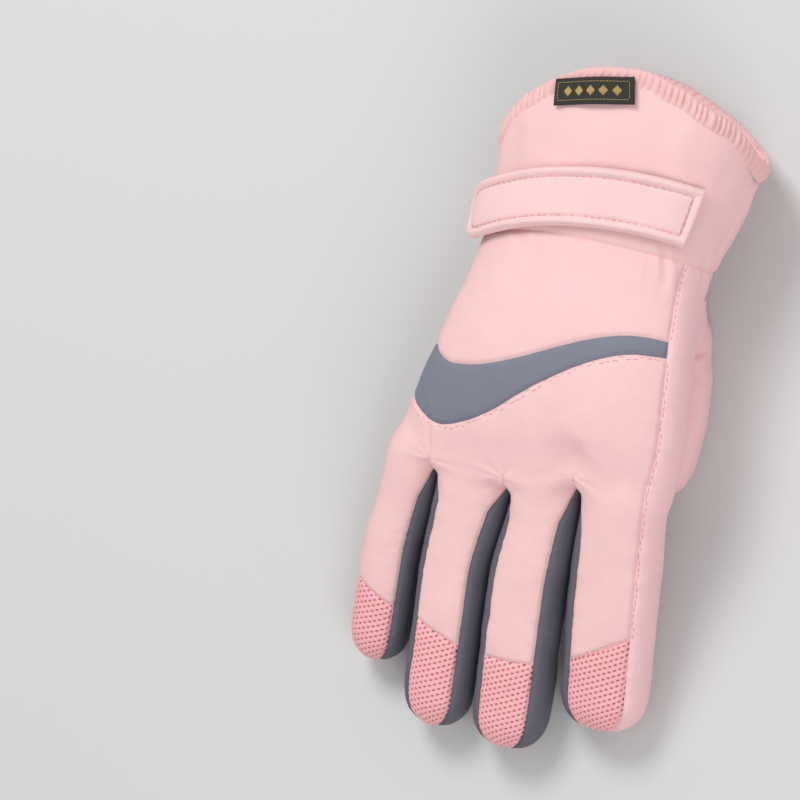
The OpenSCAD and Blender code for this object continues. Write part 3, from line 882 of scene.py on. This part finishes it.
def chains(edges):
    """Edges joined end to end into runs of vertices."""
    link = {}
    for a, b in edges.tolist():
        link.setdefault(a, []).append(b)
        link.setdefault(b, []).append(a)
    runs, done = [], set()
    for start in [v for v in link if len(link[v]) != 2] + list(link):
        if start in done:
            continue
        run, at = [start], start
        done.add(start)
        while True:
            nxt = [v for v in link[at] if v not in done]
            if not nxt:
                break
            at = nxt[0]
            done.add(at)
            run.append(at)
        if len(run) > 12:
            runs.append(run)
    return runs


def along_path(p, x):
    run = run_length(p)
    return np.stack([np.interp(x, run, p[:, c]) for c in range(3)], 1)


def stitch(a, b, offset, step=2.6, length=1.8, radius=0.17):
    """Threads on region a, offset from its seam with b; returned with the zone that each is in."""
    m = ((R[TRI0] == a) & (R[TRI1] == b)) | ((R[TRI0] == b) & (R[TRI1] == a))
    into = np.where(R[TRI0[m]] == a, TRI0[m], TRI1[m])
    mid_e, mid_t = V[EDGE[m]].mean(1), V[T[into]].mean(1)
    out = []
    for run in chains(EDGE[m]):
        p = V[run]
        for _ in range(10):
            p[1:-1] = 0.5 * p[1:-1] + 0.25 * (p[:-2] + p[2:])
        total = run_length(p)[-1]
        if total < 5:
            continue
        xs = np.arange(0.4, total - length - 0.2, step)
        pa, pb = along_path(p, xs), along_path(p, xs + length)
        t = (pb - pa) / np.linalg.norm(pb - pa, axis=1)[:, None]
        _, ka = on_skin(pa)
        n = np.cross(V[T[ka, 1]] - V[T[ka, 0]], V[T[ka, 2]] - V[T[ka, 0]])
        n /= np.linalg.norm(n, axis=1)[:, None]
        s = np.cross(n, t)
        # the side of the seam that region a is on
        near = np.linalg.norm(mid_e[:, None] - pa[None, ::4], axis=2).argmin(1)
        sign = np.sign(((mid_t - mid_e) * s[::4][near]).sum())
        qa, _ = on_skin(pa + s * sign * offset, 0.05)
        qb, kb = on_skin(pb + s * sign * offset, 0.05)
        out += [(qa[i], qb[i], radius, Z[kb[i]]) for i in range(len(qa))]
    return out


def sew(name, threads, mat):
    for z in range(9):
        here = [q[:3] for q in threads if q[3] == z]
        if here:
            capsules("%s_%d" % (name, z), here, mat, zone_blend(z), None)


PINK_THREAD = fabric("seam_thread", srgb(226, 168, 168), rough=0.6, pitch=0.0004, bump=0.3)


# ---------------------------------------------------------------- thumb
T_ROOT, T_CURL = joint_mm("thumb_swing"), joint_mm("thumb_curl")
T_D = (T_CURL - T_ROOT) / np.linalg.norm(T_CURL - T_ROOT)
T_SIDE = np.array([T_D[1], -T_D[0], 0])
T_CURL_S = np.linalg.norm(T_CURL - T_ROOT)
T_LEN = T_CURL_S + 22.5


def grid_faces(nu, nv, closed=False):
    i, j = np.meshgrid(np.arange(nu if closed else nu - 1), np.arange(nv - 1), indexing="ij")
    a, b = j * nu + i, j * nu + (i + 1) % nu
    return np.stack([a, b, b + nu, a + nu], -1).reshape(-1, 4)


def finish_grid(name, v, quads, uv, mat, blend=None, body=None, replaces=(), flip=False):
    """An object from an array of points and quads, with one UV pair in metres for each point."""
    if flip:
        quads = quads[:, ::-1]
    ob = new_object(name, v, quads)
    set_uv(ob, uv)
    ob.data.materials.append(mat)
    settle(ob, blend, body, replaces)
    return ob


def thumb_surface():
    """Angles round the thumb, places along it, and the points of its smooth surface."""
    nu, nv, nose = 144, 230, 13  # nose: the tip is rounded over this length
    keys = [-34, -27, -19, -10, 0, 14, 30, 40, T_LEN]
    # centre line: out of the palm, then forward under it
    off = np.array([[7.4, -26, 25], [9.4, -22, 19], [11.2, -17, 8.5], [8.6, -10, 1.8], [3.7, 0, 0.8],
                    [0.1, 14, 0.8], [-2.1, 30, 0.3], [-1.8, 40, 0.1], [-1.2, T_LEN, 0.0]])
    centre = T_ROOT + off[:, :1] * T_SIDE + off[:, 1:2] * T_D + off[:, 2:] * np.array([0, 0, 1])
    half = [[17, 12], [18, 13], [18, 12.5], [17, 11.6], [16.5, 11.0], [16.2, 11.0], [15.4, 10.8],
            [14.6, 10.6], [13.8, 10]]
    round_end = T_LEN - nose * (1 - np.sin(np.linspace(0, math.pi / 2, 61)[1:]))
    t = np.concatenate([np.linspace(-34, T_LEN - nose, nv - 60), round_end])
    c = spline(t, keys, centre)
    ab = spline(t, keys, half)
    e = np.clip((t - T_LEN + nose) / nose, 0, 1)
    end = np.maximum(1e-6, 1 - e**2.3) ** (1 / 2.3)
    d = np.gradient(c, t, axis=0)
    d /= np.linalg.norm(d, axis=1)[:, None]
    side = np.broadcast_to(T_SIDE, d.shape)
    up = np.cross(side, d)
    up /= np.linalg.norm(up, axis=1)[:, None]
    u = np.linspace(-90, 270, nu, endpoint=False)
    px, pz = oval(u, 1, 1, 2.35)
    v = (c[:, None] + (px[None, :] * (ab[:, 0] * end)[:, None])[..., None] * side[:, None]
         + (pz[None, :] * (ab[:, 1] * end)[:, None])[..., None] * up[:, None])
    return u, t, v


def thumb():
    u, t, v = thumb_surface()
    nv, nu = v.shape[:2]
    uu, tt = np.meshgrid(u, t)
    flat = v.reshape(-1, 3)
    q = grid_faces(nu, nv, closed=True)
    tri = np.concatenate([q[:, [0, 1, 2]], q[:, [0, 2, 3]]])
    n = vertex_normals(flat, tri).reshape(v.shape)
    if ((n * (v - v.mean(1, keepdims=True))).sum(-1)).mean() < 0:
        n, q = -n, q[:, ::-1]
    arc = np.radians(uu) * 13
    d_seam = np.minimum(np.abs(uu + 90), np.minimum(np.abs(uu - 90), np.abs(uu - 270))) * 0.30
    h = -0.7 * np.exp(-(d_seam / 0.9) ** 2) + 0.5 * (1 - np.exp(-d_seam / 5))
    h += 0.22 * np.exp(-d_seam / 3.5) * wave1("a", tt / 1.9 + 300)
    # creases across the outer side, where the thumb folds under the palm
    outer = ease((uu - 100) / 40) * ease((260 - uu) / 40)
    h += 0.9 * outer * wave1("g", (tt + 0.12 * (uu - 180)) / 4.5) * np.exp(-((tt + 4) / 17) ** 2)
    h += 0.35 * wave1("h", (tt - 0.05 * uu) / 6.0) * np.exp(-((tt - T_CURL_S) / 14) ** 2)
    h += 0.4 * noise3(flat, 14, 21.0).reshape(h.shape)
    v = v + n * h[..., None]
    flat = v.reshape(-1, 3)
    uv = np.stack([arc.ravel() / 1000, tt.ravel() / 1000], 1)
    cu, ct = uu.ravel()[q], tt.ravel()[q]
    um = np.where(np.ptp(cu, axis=1) > 180, 269, cu.mean(1))
    # the base ends 2 mm inside the palm
    depth = np.zeros(len(q))
    for i in np.flatnonzero(ct.mean(1) < 4):
        m = Vector(flat[q[i]].mean(0))
        at, normal, _, _ = TREE.find_nearest(m)
        depth[i] = (at - m).dot(normal)
    q, ct, um = q[depth < 2.0], ct[depth < 2.0], um[depth < 2.0]
    outer_q = (um > 90) & (um < 270)
    tip_q = ct.mean(1) > 13
    root = ("hand", "thumb", row(T_ROOT - T_D * 10), row(T_ROOT + T_D * 9))
    tip = ("thumb", "thumb_tip", row(T_ROOT + T_D * (T_CURL_S - 10)), row(T_ROOT + T_D * (T_CURL_S + 10)))
    outer_look, inner_look = (PINK_SIDE, "pink_nylon"), (PINK_PALM, "palm_shell")
    for label, sel, blend, (mat, slot), nodes in (
            ("root_outer", outer_q & ~tip_q, root, outer_look, ("thumb_outer", "thumb_gusset")),
            ("root_inner", ~outer_q & ~tip_q, root, inner_look, ("thumb_inner", "thumb_liner")),
            ("end_outer", outer_q & tip_q, tip, outer_look, ("thumb_tip_outer",)),
            ("end_inner", ~outer_q & tip_q, tip, inner_look, ("thumb_tip_inner", "thumb_tip_liner"))):
        used, inv = np.unique(q[sel].ravel(), return_inverse=True)
        quads = inv.reshape(-1, 4)
        ob = finish_grid("shell_thumb_" + label, flat[used], quads, uv[used], mat, blend, None, nodes)


thumb()


# ---------------------------------------------------------------- cuff: lining, gathered hem, label
def closed_us(n):
    return np.linspace(-90, 270, n, endpoint=False)


def lining():
    """The fleece bag inside cuff and hand, closed off where the fingers begin."""
    nu, nv = 300, 150
    us = closed_us(nu)
    w = np.linspace(0, 1, nv)[:, None]
    y = (hem_edge(us) + 3)[None] * (1 - w) + (-14.0) * w
    v = body_point(np.broadcast_to(us, y.shape), y, 4.6 + 0.4 * w)
    uu = np.broadcast_to(us, y.shape)
    arc = hand_arc(y.ravel(), uu.ravel()).reshape(y.shape)
    flat = v.reshape(-1, 3)
    puff = 0.5 * noise3(flat, 9, 31.0) + 0.22 * noise3(flat, 2.2, 5.0)
    c = section(y.ravel())
    mid = np.stack([c[:, 0] + OX, flat[:, 1], c[:, 1]], 1)
    r = flat - mid
    r /= np.linalg.norm(r, axis=1)[:, None]
    flat = flat - r * (puff[:, None] + 0.35 * wave1("b", arc.ravel() / 5.5)[:, None])
    last = flat[-nu:]
    rings, uvs = [flat], [np.stack([arc.ravel(), y.ravel()], 1)]
    for i, (g, dy) in enumerate(((0.8, 2.5), (0.5, 4), (0.2, 5))):
        ring = last.mean(0) + (last - last.mean(0)) * g
        ring[:, 1] += dy
        rings.append(ring)
        uvs.append(np.stack([arc[-1], y[-1] + 3 * (i + 1)], 1))
    q, uv = grid_faces(nu, nv + 3, closed=True), np.concatenate(uvs) / 1000
    nodes = ("hand_lining", "cuff_lining", "hand_padding", "cuff_padding", "hand_membrane", "cuff_elastics")
    finish_grid("fleece_lining", np.concatenate(rings), q, uv, FLEECE, WRIST_BLEND, None, nodes,
                flip=True)


def hem():
    """The ruched hem: outer face, rolled edge and inner face, with pleats along the hand."""
    nu, prof = 1100, 34
    us = closed_us(nu)
    arc = hand_arc(hem_edge(us), us)
    total = arc[-1] + (arc[1] - arc[0])
    turns = np.round(total / 2.7)
    swing = 2 * math.pi * turns * arc / total + 1.5 * wave1("e", arc / 5)
    pleat = 0.55 * np.sin(swing) + wave1("f", arc / 1.2) * 0.3 + wave1("h", arc / 3.1) * 0.25
    big = wave1("g", arc / 7)
    rows_v, rows_uv = [], []
    for j in range(prof):
        q = j / (prof - 1)
        if q < 0.5:
            w = q / 0.5
            along = 7.2 * (1 - w) + 1.0 * w
            bulge = 1.5 * math.sin(math.pi * (0.04 + 0.66 * w)) ** 0.6
            o = -bulge + 0.3
        else:
            w = (q - 0.5) / 0.5
            along = 1.0 + 6.0 * w ** 1.2
            o = -1.15 + 4.85 * math.sin(min(1, w * 2.2) * math.pi / 2) + 0.6 * w
        edge_round = -1.3 * math.exp(-((q - 0.56) / 0.12) ** 2)
        amp = (0.30 + 0.70 * math.sin(math.pi * min(1, q * 1.6)) ** 2) * (1 if q > 0.05 else 0.3)
        fade = 1.0 if q < 0.62 else max(0.2, 1 - (q - 0.62) * 2)
        out = -(pleat * 0.85 * amp * fade) - 0.25 * big
        y = hem_edge(us) + along + edge_round + 0.55 * big + 0.45 * pleat * math.exp(-((q - 0.55) / 0.2) ** 2)
        rows_v.append(body_point(us, y, o + out))
        rows_uv.append(np.stack([arc, np.full(nu, q * 20)], 1) / 1000)
    q = grid_faces(nu, prof, closed=True)
    finish_grid("ruched_hem", np.concatenate(rows_v), q, np.concatenate(rows_uv), PINK_HEM, None, "cuff",
                ("cuff_hem",))


def label_mid(u):
    """Middle line of the label: straight from end to end, near the hem's edge."""
    a, b = hem_edge(66.0), hem_edge(99.0)
    return a + (b - a) * (u - 66) / 33 + 7.6


def label():
    """Black woven label on the hem, with a gold border and a row of small gold diamonds."""
    nu, nv = 110, 40
    half_l, half_w = 14.0, 5.0
    mid_u, half_u, skew = 82.5, 16.6, 1.6
    us = np.linspace(mid_u - half_u, mid_u + half_u, nu)
    w = np.linspace(-1, 1, nv)[:, None]
    y = label_mid(us) + w * half_w
    uu = np.broadcast_to(us, y.shape)
    px = (uu - mid_u) / half_u
    edge = np.minimum((1 - np.abs(px)) * half_l, (1 - np.abs(w)) * half_w)
    o = -2.55 - 0.5 * np.clip(edge / 0.5, 0, 1) ** 0.5 - 0.25 * np.sin(px * 5 + 1)
    v = body_point(uu + skew * w, y, o)
    uv = np.stack([(px * half_l).ravel(), np.broadcast_to(w * half_w, y.shape).ravel()], 1) / 1000
    finish_grid("woven_label_face", v.reshape(-1, 3), grid_faces(nu, nv), uv, LABEL, None, "cuff",
                ("woven_label",), flip=True)

    def at(a, b):
        """Place on the label's face, a along it and b across it."""
        u = np.array([mid_u + a / half_l * half_u])
        depth = -3.15 - 0.25 * math.sin(a / half_l * 5 + 1)
        return body_point(u + skew * b / half_w, label_mid(u) + b, depth)[0]

    # gold embroidery: satin stitches laid side by side, then the border's running stitch
    threads = []
    for i in range(5):
        for k in range(13):
            dx = -1.5 + 0.25 * k
            hh = 2.0 * (1 - abs(dx) / 1.6)
            if hh > 0.15:
                x = -8.4 + 4.2 * i + dx
                threads.append((at(x, -hh), at(x, hh), 0.14))
    for sgn in (-1, 1):
        for k in range(24):
            a = -12.2 + k * 24.4 / 24
            threads.append((at(a, sgn * 3.3), at(a + 0.8, sgn * 3.3), 0.11))
        for k in range(6):
            b = -3.1 + k * 6.2 / 6
            threads.append((at(sgn * 12.3, b), at(sgn * 12.3, b + 0.8), 0.11))
    capsules("label_embroidery", threads, GOLD, None, "cuff")


def capsules(name, threads, mat, blend, body):
    """Short round-ended threads from a to b with a radius, all in one mesh."""
    sides = 6
    a, b, rad = (np.array([q[i] for q in threads]) for i in range(3))
    d = b - a
    ln = np.linalg.norm(d, axis=1)
    d /= np.maximum(ln, 1e-9)[:, None]
    ref = np.where(np.abs(d[:, 2:3]) < 0.9, np.array([[0, 0, 1.0]]), np.array([[1.0, 0, 0]]))
    s = np.cross(d, ref)
    s /= np.linalg.norm(s, axis=1)[:, None]
    t = np.cross(d, s)
    rings = [(0.0, 0.35), (0.08, 0.8), (0.25, 1.0), (0.75, 1.0), (0.92, 0.8), (1.0, 0.35)]
    ang = (np.arange(sides) * 2 * math.pi / sides)[None, :, None]
    turn = np.cos(ang) * s[:, None] + np.sin(ang) * t[:, None]
    verts = [(a + d * (ln * w)[:, None])[:, None] + (rad * r)[:, None, None] * turn for w, r in rings]
    verts = np.stack(verts, 1).reshape(-1, 3)  # thread, ring, side
    first = np.arange(len(threads)) * len(rings) * sides
    j, i = np.meshgrid(np.arange(len(rings) - 1), np.arange(sides), indexing="ij")
    a0, b0 = j * sides + i, j * sides + (i + 1) % sides
    quads = np.stack([a0, b0, b0 + sides, a0 + sides], -1).reshape(1, -1, 4)
    faces = (quads + first[:, None, None]).reshape(-1, 4).tolist()
    for o in first.tolist():
        faces.append([o + k for k in range(sides)][::-1])
        faces.append([o + (len(rings) - 1) * sides + k for k in range(sides)])
    ob = new_object(name, verts, faces)
    ob.data.materials.append(mat)
    settle(ob, blend, body, ())


FLEECE = fabric("fleece", srgb(236, 226, 224), rough=0.95, sheen=0.6, pitch=0.002, bump=0.6, fuzz=4.0)
PINK_HEM = fabric("pink_hem", srgb(249, 200, 198), pitch=0.0009, bump=0.4)
LABEL = fabric("label_black", srgb(52, 50, 46), rough=0.6, pitch=0.0006, bump=0.5, sheen=0.1)
GOLD = fabric("gold_thread", srgb(196, 170, 106), rough=0.45, pitch=0.0005, bump=0.3, sheen=0.4)
lining()
hem()
label()


# ---------------------------------------------------------------- strap
def strap_mid(u):
    """Middle line of the strap: a shallow bow, furthest from the fingers at x = -38."""
    x = body_point(u, np.full(np.shape(u), -102.0))[..., 0] - OX
    return -104.4 + 11.4 * ((x + 38) / 61) ** 2


def strap():
    """Padded strap: raised border with a stitched line inside it, on a rounded free end."""
    end_u, root_u, half = 9.0, 142.0, 11.25
    r_end, inset = 12.0, 3.9  # the free end's rounding; the stitched line's distance from the edge
    us_fine = np.linspace(end_u, root_u, 800)
    run_fine = run_length(body_point(us_fine, strap_mid(us_fine), -3))
    length = run_fine[-1]
    l = np.concatenate([np.linspace(0, 16, 70)[:-1], np.linspace(16, length - 8, 220),
                        np.linspace(length - 8, length, 42)[1:]])
    nu, nw = len(l), 60
    us = np.interp(l, run_fine, us_fine)
    hw = half * np.sqrt(np.clip(1 - np.clip((r_end - l) / r_end, 0, 1) ** 2.3, 0.0004, 1))
    ww = hw[:, None] * np.sin(np.linspace(-1, 1, nw) * math.pi / 2)[None]
    # distance from the outline, for the border's relief
    outline = [(x, y) for x, y in zip(l, hw)] + [(x, -y) for x, y in zip(l, hw)]
    outline = np.array(outline + [(length, y) for y in np.linspace(-half, half, 60)])
    al = np.broadcast_to(l[:, None], ww.shape)
    places = np.stack([al.ravel(), ww.ravel()], 1)
    dist = np.full(len(places), 99.0)
    for i in range(0, len(outline), 40):
        dist = np.minimum(dist, np.linalg.norm(places[:, None] - outline[None, i:i + 40], axis=2).min(1))
    dist = dist.reshape(ww.shape)
    ht = 1.9 * np.clip(dist / 1.1, 0, 1) ** 0.5 + 0.75 * np.exp(-((dist - 1.9) / 1.2) ** 2)
    ht -= 0.65 * np.exp(-((dist - inset) / 0.45) ** 2)
    ht += 0.35 * (1 - np.exp(-np.maximum(dist - 4.2, 0) / 3))
    ht += 0.14 * np.exp(-np.abs(dist - inset) / 1.8) * wave1("a", (al + ww) / 1.8)
    ht += 0.22 * wave1("c", al / 9 + ww / 14) * (dist > 1)

    def base(x):
        """Depth of the strap's underside; the free end stands a little off the cuff."""
        return -2.3 - 2.6 * np.clip((26 - x) / 26, 0, 1) ** 2

    uu, yy = np.broadcast_to(us[:, None], ww.shape), strap_mid(us)[:, None] + ww
    top = body_point(uu, yy, base(al) - ht)
    under = body_point(uu, yy, base(al) + 0.15 * np.clip(dist, 0, 1))
    below = nu * nw  # from a point of the top to the one under it
    q = grid_faces(nw, nu)
    quads = [q, q[:, ::-1] + below]
    j, i = np.arange(nu - 1), np.arange(nw - 1)
    for e0, e1, turned in ((j * nw, (j + 1) * nw, True), (j * nw + nw - 1, (j + 1) * nw + nw - 1, False),
                           (i, i + 1, False), ((nu - 1) * nw + i, (nu - 1) * nw + i + 1, True)):
        rim = np.stack([e0, e1, e1 + below, e0 + below], 1)
        quads.append(rim[:, ::-1] if turned else rim)
    hinge = joint_mm("strap_peel")
    blend = ("cuff", "strap", row(hinge + [-2, 0, 0]), row(hinge + [12, 0, 5]))
    v = np.concatenate([top.reshape(-1, 3), under.reshape(-1, 3)])
    band = finish_grid("strap_band", v, np.concatenate(quads), np.concatenate([places, places]) / 1000,
                       PINK_STRAP, blend, None, ("wrist_strap",), flip=True)

    def at(x, y):
        """Place on the stitched line, x along the strap and y across it."""
        u = np.array([np.interp(x, run_fine, us_fine)])
        return body_point(u, strap_mid(u) + y, base(x) - 1.62)[0]

    def half_at(x):
        q = max(0.0, min(1, (r_end - x) / (r_end - inset)))
        return (half - inset) * math.sqrt(max(0.0, 1 - q ** 2.3))

    xs = np.arange(inset + 0.02, length - inset, 0.1)
    across = [(length - inset, y) for y in np.arange(half - inset, -(half - inset), -0.1)]
    path = np.array([(x, half_at(x)) for x in xs] + across + [(x, -half_at(x)) for x in xs[::-1]])
    run = run_length(path)
    threads, x, step, thread = [], 0.0, 2.7, 1.9
    while x + thread < run[-1]:
        a, b = ([np.interp(z, run, path[:, c]) for c in (0, 1)] for z in (x, x + thread))
        threads.append((at(*a), at(*b), 0.2))
        x += step
    capsules("strap_stitches", threads, THREAD, blend, None)


PINK_STRAP = fabric("pink_strap", srgb(253, 212, 212), pitch=0.0009)
THREAD = fabric("pink_thread", srgb(236, 178, 180), rough=0.6, pitch=0.0004, bump=0.3)
strap()


# ---------------------------------------------------------------- patches and seams on the surface
skin_pad("palm_grip", (262, 340), (lambda u: -42 + 0 * u, lambda u: -8 + 0 * u), GRIP_PALM, "hand", 0.8,
         (190, 100), 8.0, dented=True)
LOOP = fabric("loop_tape", srgb(70, 69, 76), rough=0.95, pitch=0.0014, bump=0.8, fuzz=5.0)
HOOK = fabric("hook_tape", srgb(84, 83, 90), rough=0.6, pitch=0.0010, bump=0.9)
skin_pad("loop_patch", (25, 95), (lambda u: strap_mid(u) - 8, lambda u: strap_mid(u) + 4.5), LOOP, "cuff",
         0.9, (120, 40), 1.0)
sew("band_stitches", stitch(BACK, BAND, 1.9), THREAD)
sew("side_stitches", stitch(SIDE, BACK, 1.0) + stitch(SIDE, UPPER, 1.0), PINK_THREAD)
sew("patch_stitches", stitch(BACK, PATCH, 1.2, 2.0, 1.4), PINK_THREAD)
sew("palm_stitches", stitch(PALM, SIDE, 1.2) + stitch(CUFF_PALM, PALM, 1.6), PINK_THREAD)


def hook_patch():
    """Hook tape on the strap's underside, facing the loop tape."""
    nu, nw = 70, 30
    us, ws = np.linspace(27, 67, nu), np.linspace(-8, 4.5, nw)[:, None]
    uu = np.broadcast_to(us, (nw, nu))
    top = body_point(uu, strap_mid(us)[None] + ws, -2.25)
    uv = np.stack([uu.ravel() * 0.75, np.broadcast_to(ws, uu.shape).ravel()], 1) / 1000
    finish_grid("hook_patch", top.reshape(-1, 3), grid_faces(nu, nw), uv, HOOK, None, "strap",
                ("strap_hook_patch",))


hook_patch()


# ---------------------------------------------------------------- camera, light, floor
ROLL, TURN = math.radians(24), math.radians(14)
FIELD = 0.3016  # width of the view at the glove, in metres
DIST = 1.9
SENSOR = 36
e_t = Vector((-math.cos(ROLL), 0, -math.sin(ROLL)))
e_s = Vector((0, 1, 0))
right = math.cos(TURN) * e_t - math.sin(TURN) * e_s
up = -(math.sin(TURN) * e_t + math.cos(TURN) * e_s)
back = right.cross(up)
aim = Vector((56.0, 12.7, 43.0)) / 1000
cam_data = bpy.data.cameras.new("camera")
cam_data.sensor_width = SENSOR
cam_data.lens = SENSOR * DIST / FIELD
cam_data.clip_end = 20
cam = bpy.data.objects.new("camera", cam_data)
bpy.context.scene.collection.objects.link(cam)
cam.matrix_world = Matrix((
    (right.x, up.x, back.x, aim.x + back.x * DIST),
    (right.y, up.y, back.y, aim.y + back.y * DIST),
    (right.z, up.z, back.z, aim.z + back.z * DIST),
    (0, 0, 0, 1)))
bpy.context.scene.camera = cam


def plain_material(name, colour, rough):
    mat = bpy.data.materials.new(name)
    mat.use_nodes = True
    b = mat.node_tree.nodes["Principled BSDF"]
    b.inputs["Base Color"].default_value = (*colour, 1)
    b.inputs["Roughness"].default_value = rough
    return mat


def area_light(name, place, size, power):
    d = bpy.data.lights.new(name, "AREA")
    d.shape, d.size, d.energy = "DISK", size, power
    o = bpy.data.objects.new(name, d)
    o.location = place
    o.rotation_euler = (Vector((0, 0, 0.03)) - Vector(place)).to_track_quat("-Z", "Y").to_euler()
    bpy.context.scene.collection.objects.link(o)


FLOOR_HALF = 6000
corners = [(x * FLOOR_HALF, y * FLOOR_HALF, 0) for x, y in ((-1, -1), (1, -1), (1, 1), (-1, 1))]
floor = new_object("floor", corners, [(0, 1, 2, 3)])
floor.data.materials.append(plain_material("floor_white", (0.63, 0.63, 0.63), 0.9))
world = bpy.data.worlds.new("world")
bpy.context.scene.world = world
world.use_nodes = True
world.node_tree.nodes["Background"].inputs[0].default_value = (1, 1, 1, 1)
world.node_tree.nodes["Background"].inputs[1].default_value = 0.55
area_light("key", (0.5, -0.9, 1.3), 0.7, 14)
area_light("fill", (-1.0, 0.6, 1.2), 1.0, 8)
bpy.context.scene.view_settings.view_transform = "Standard"
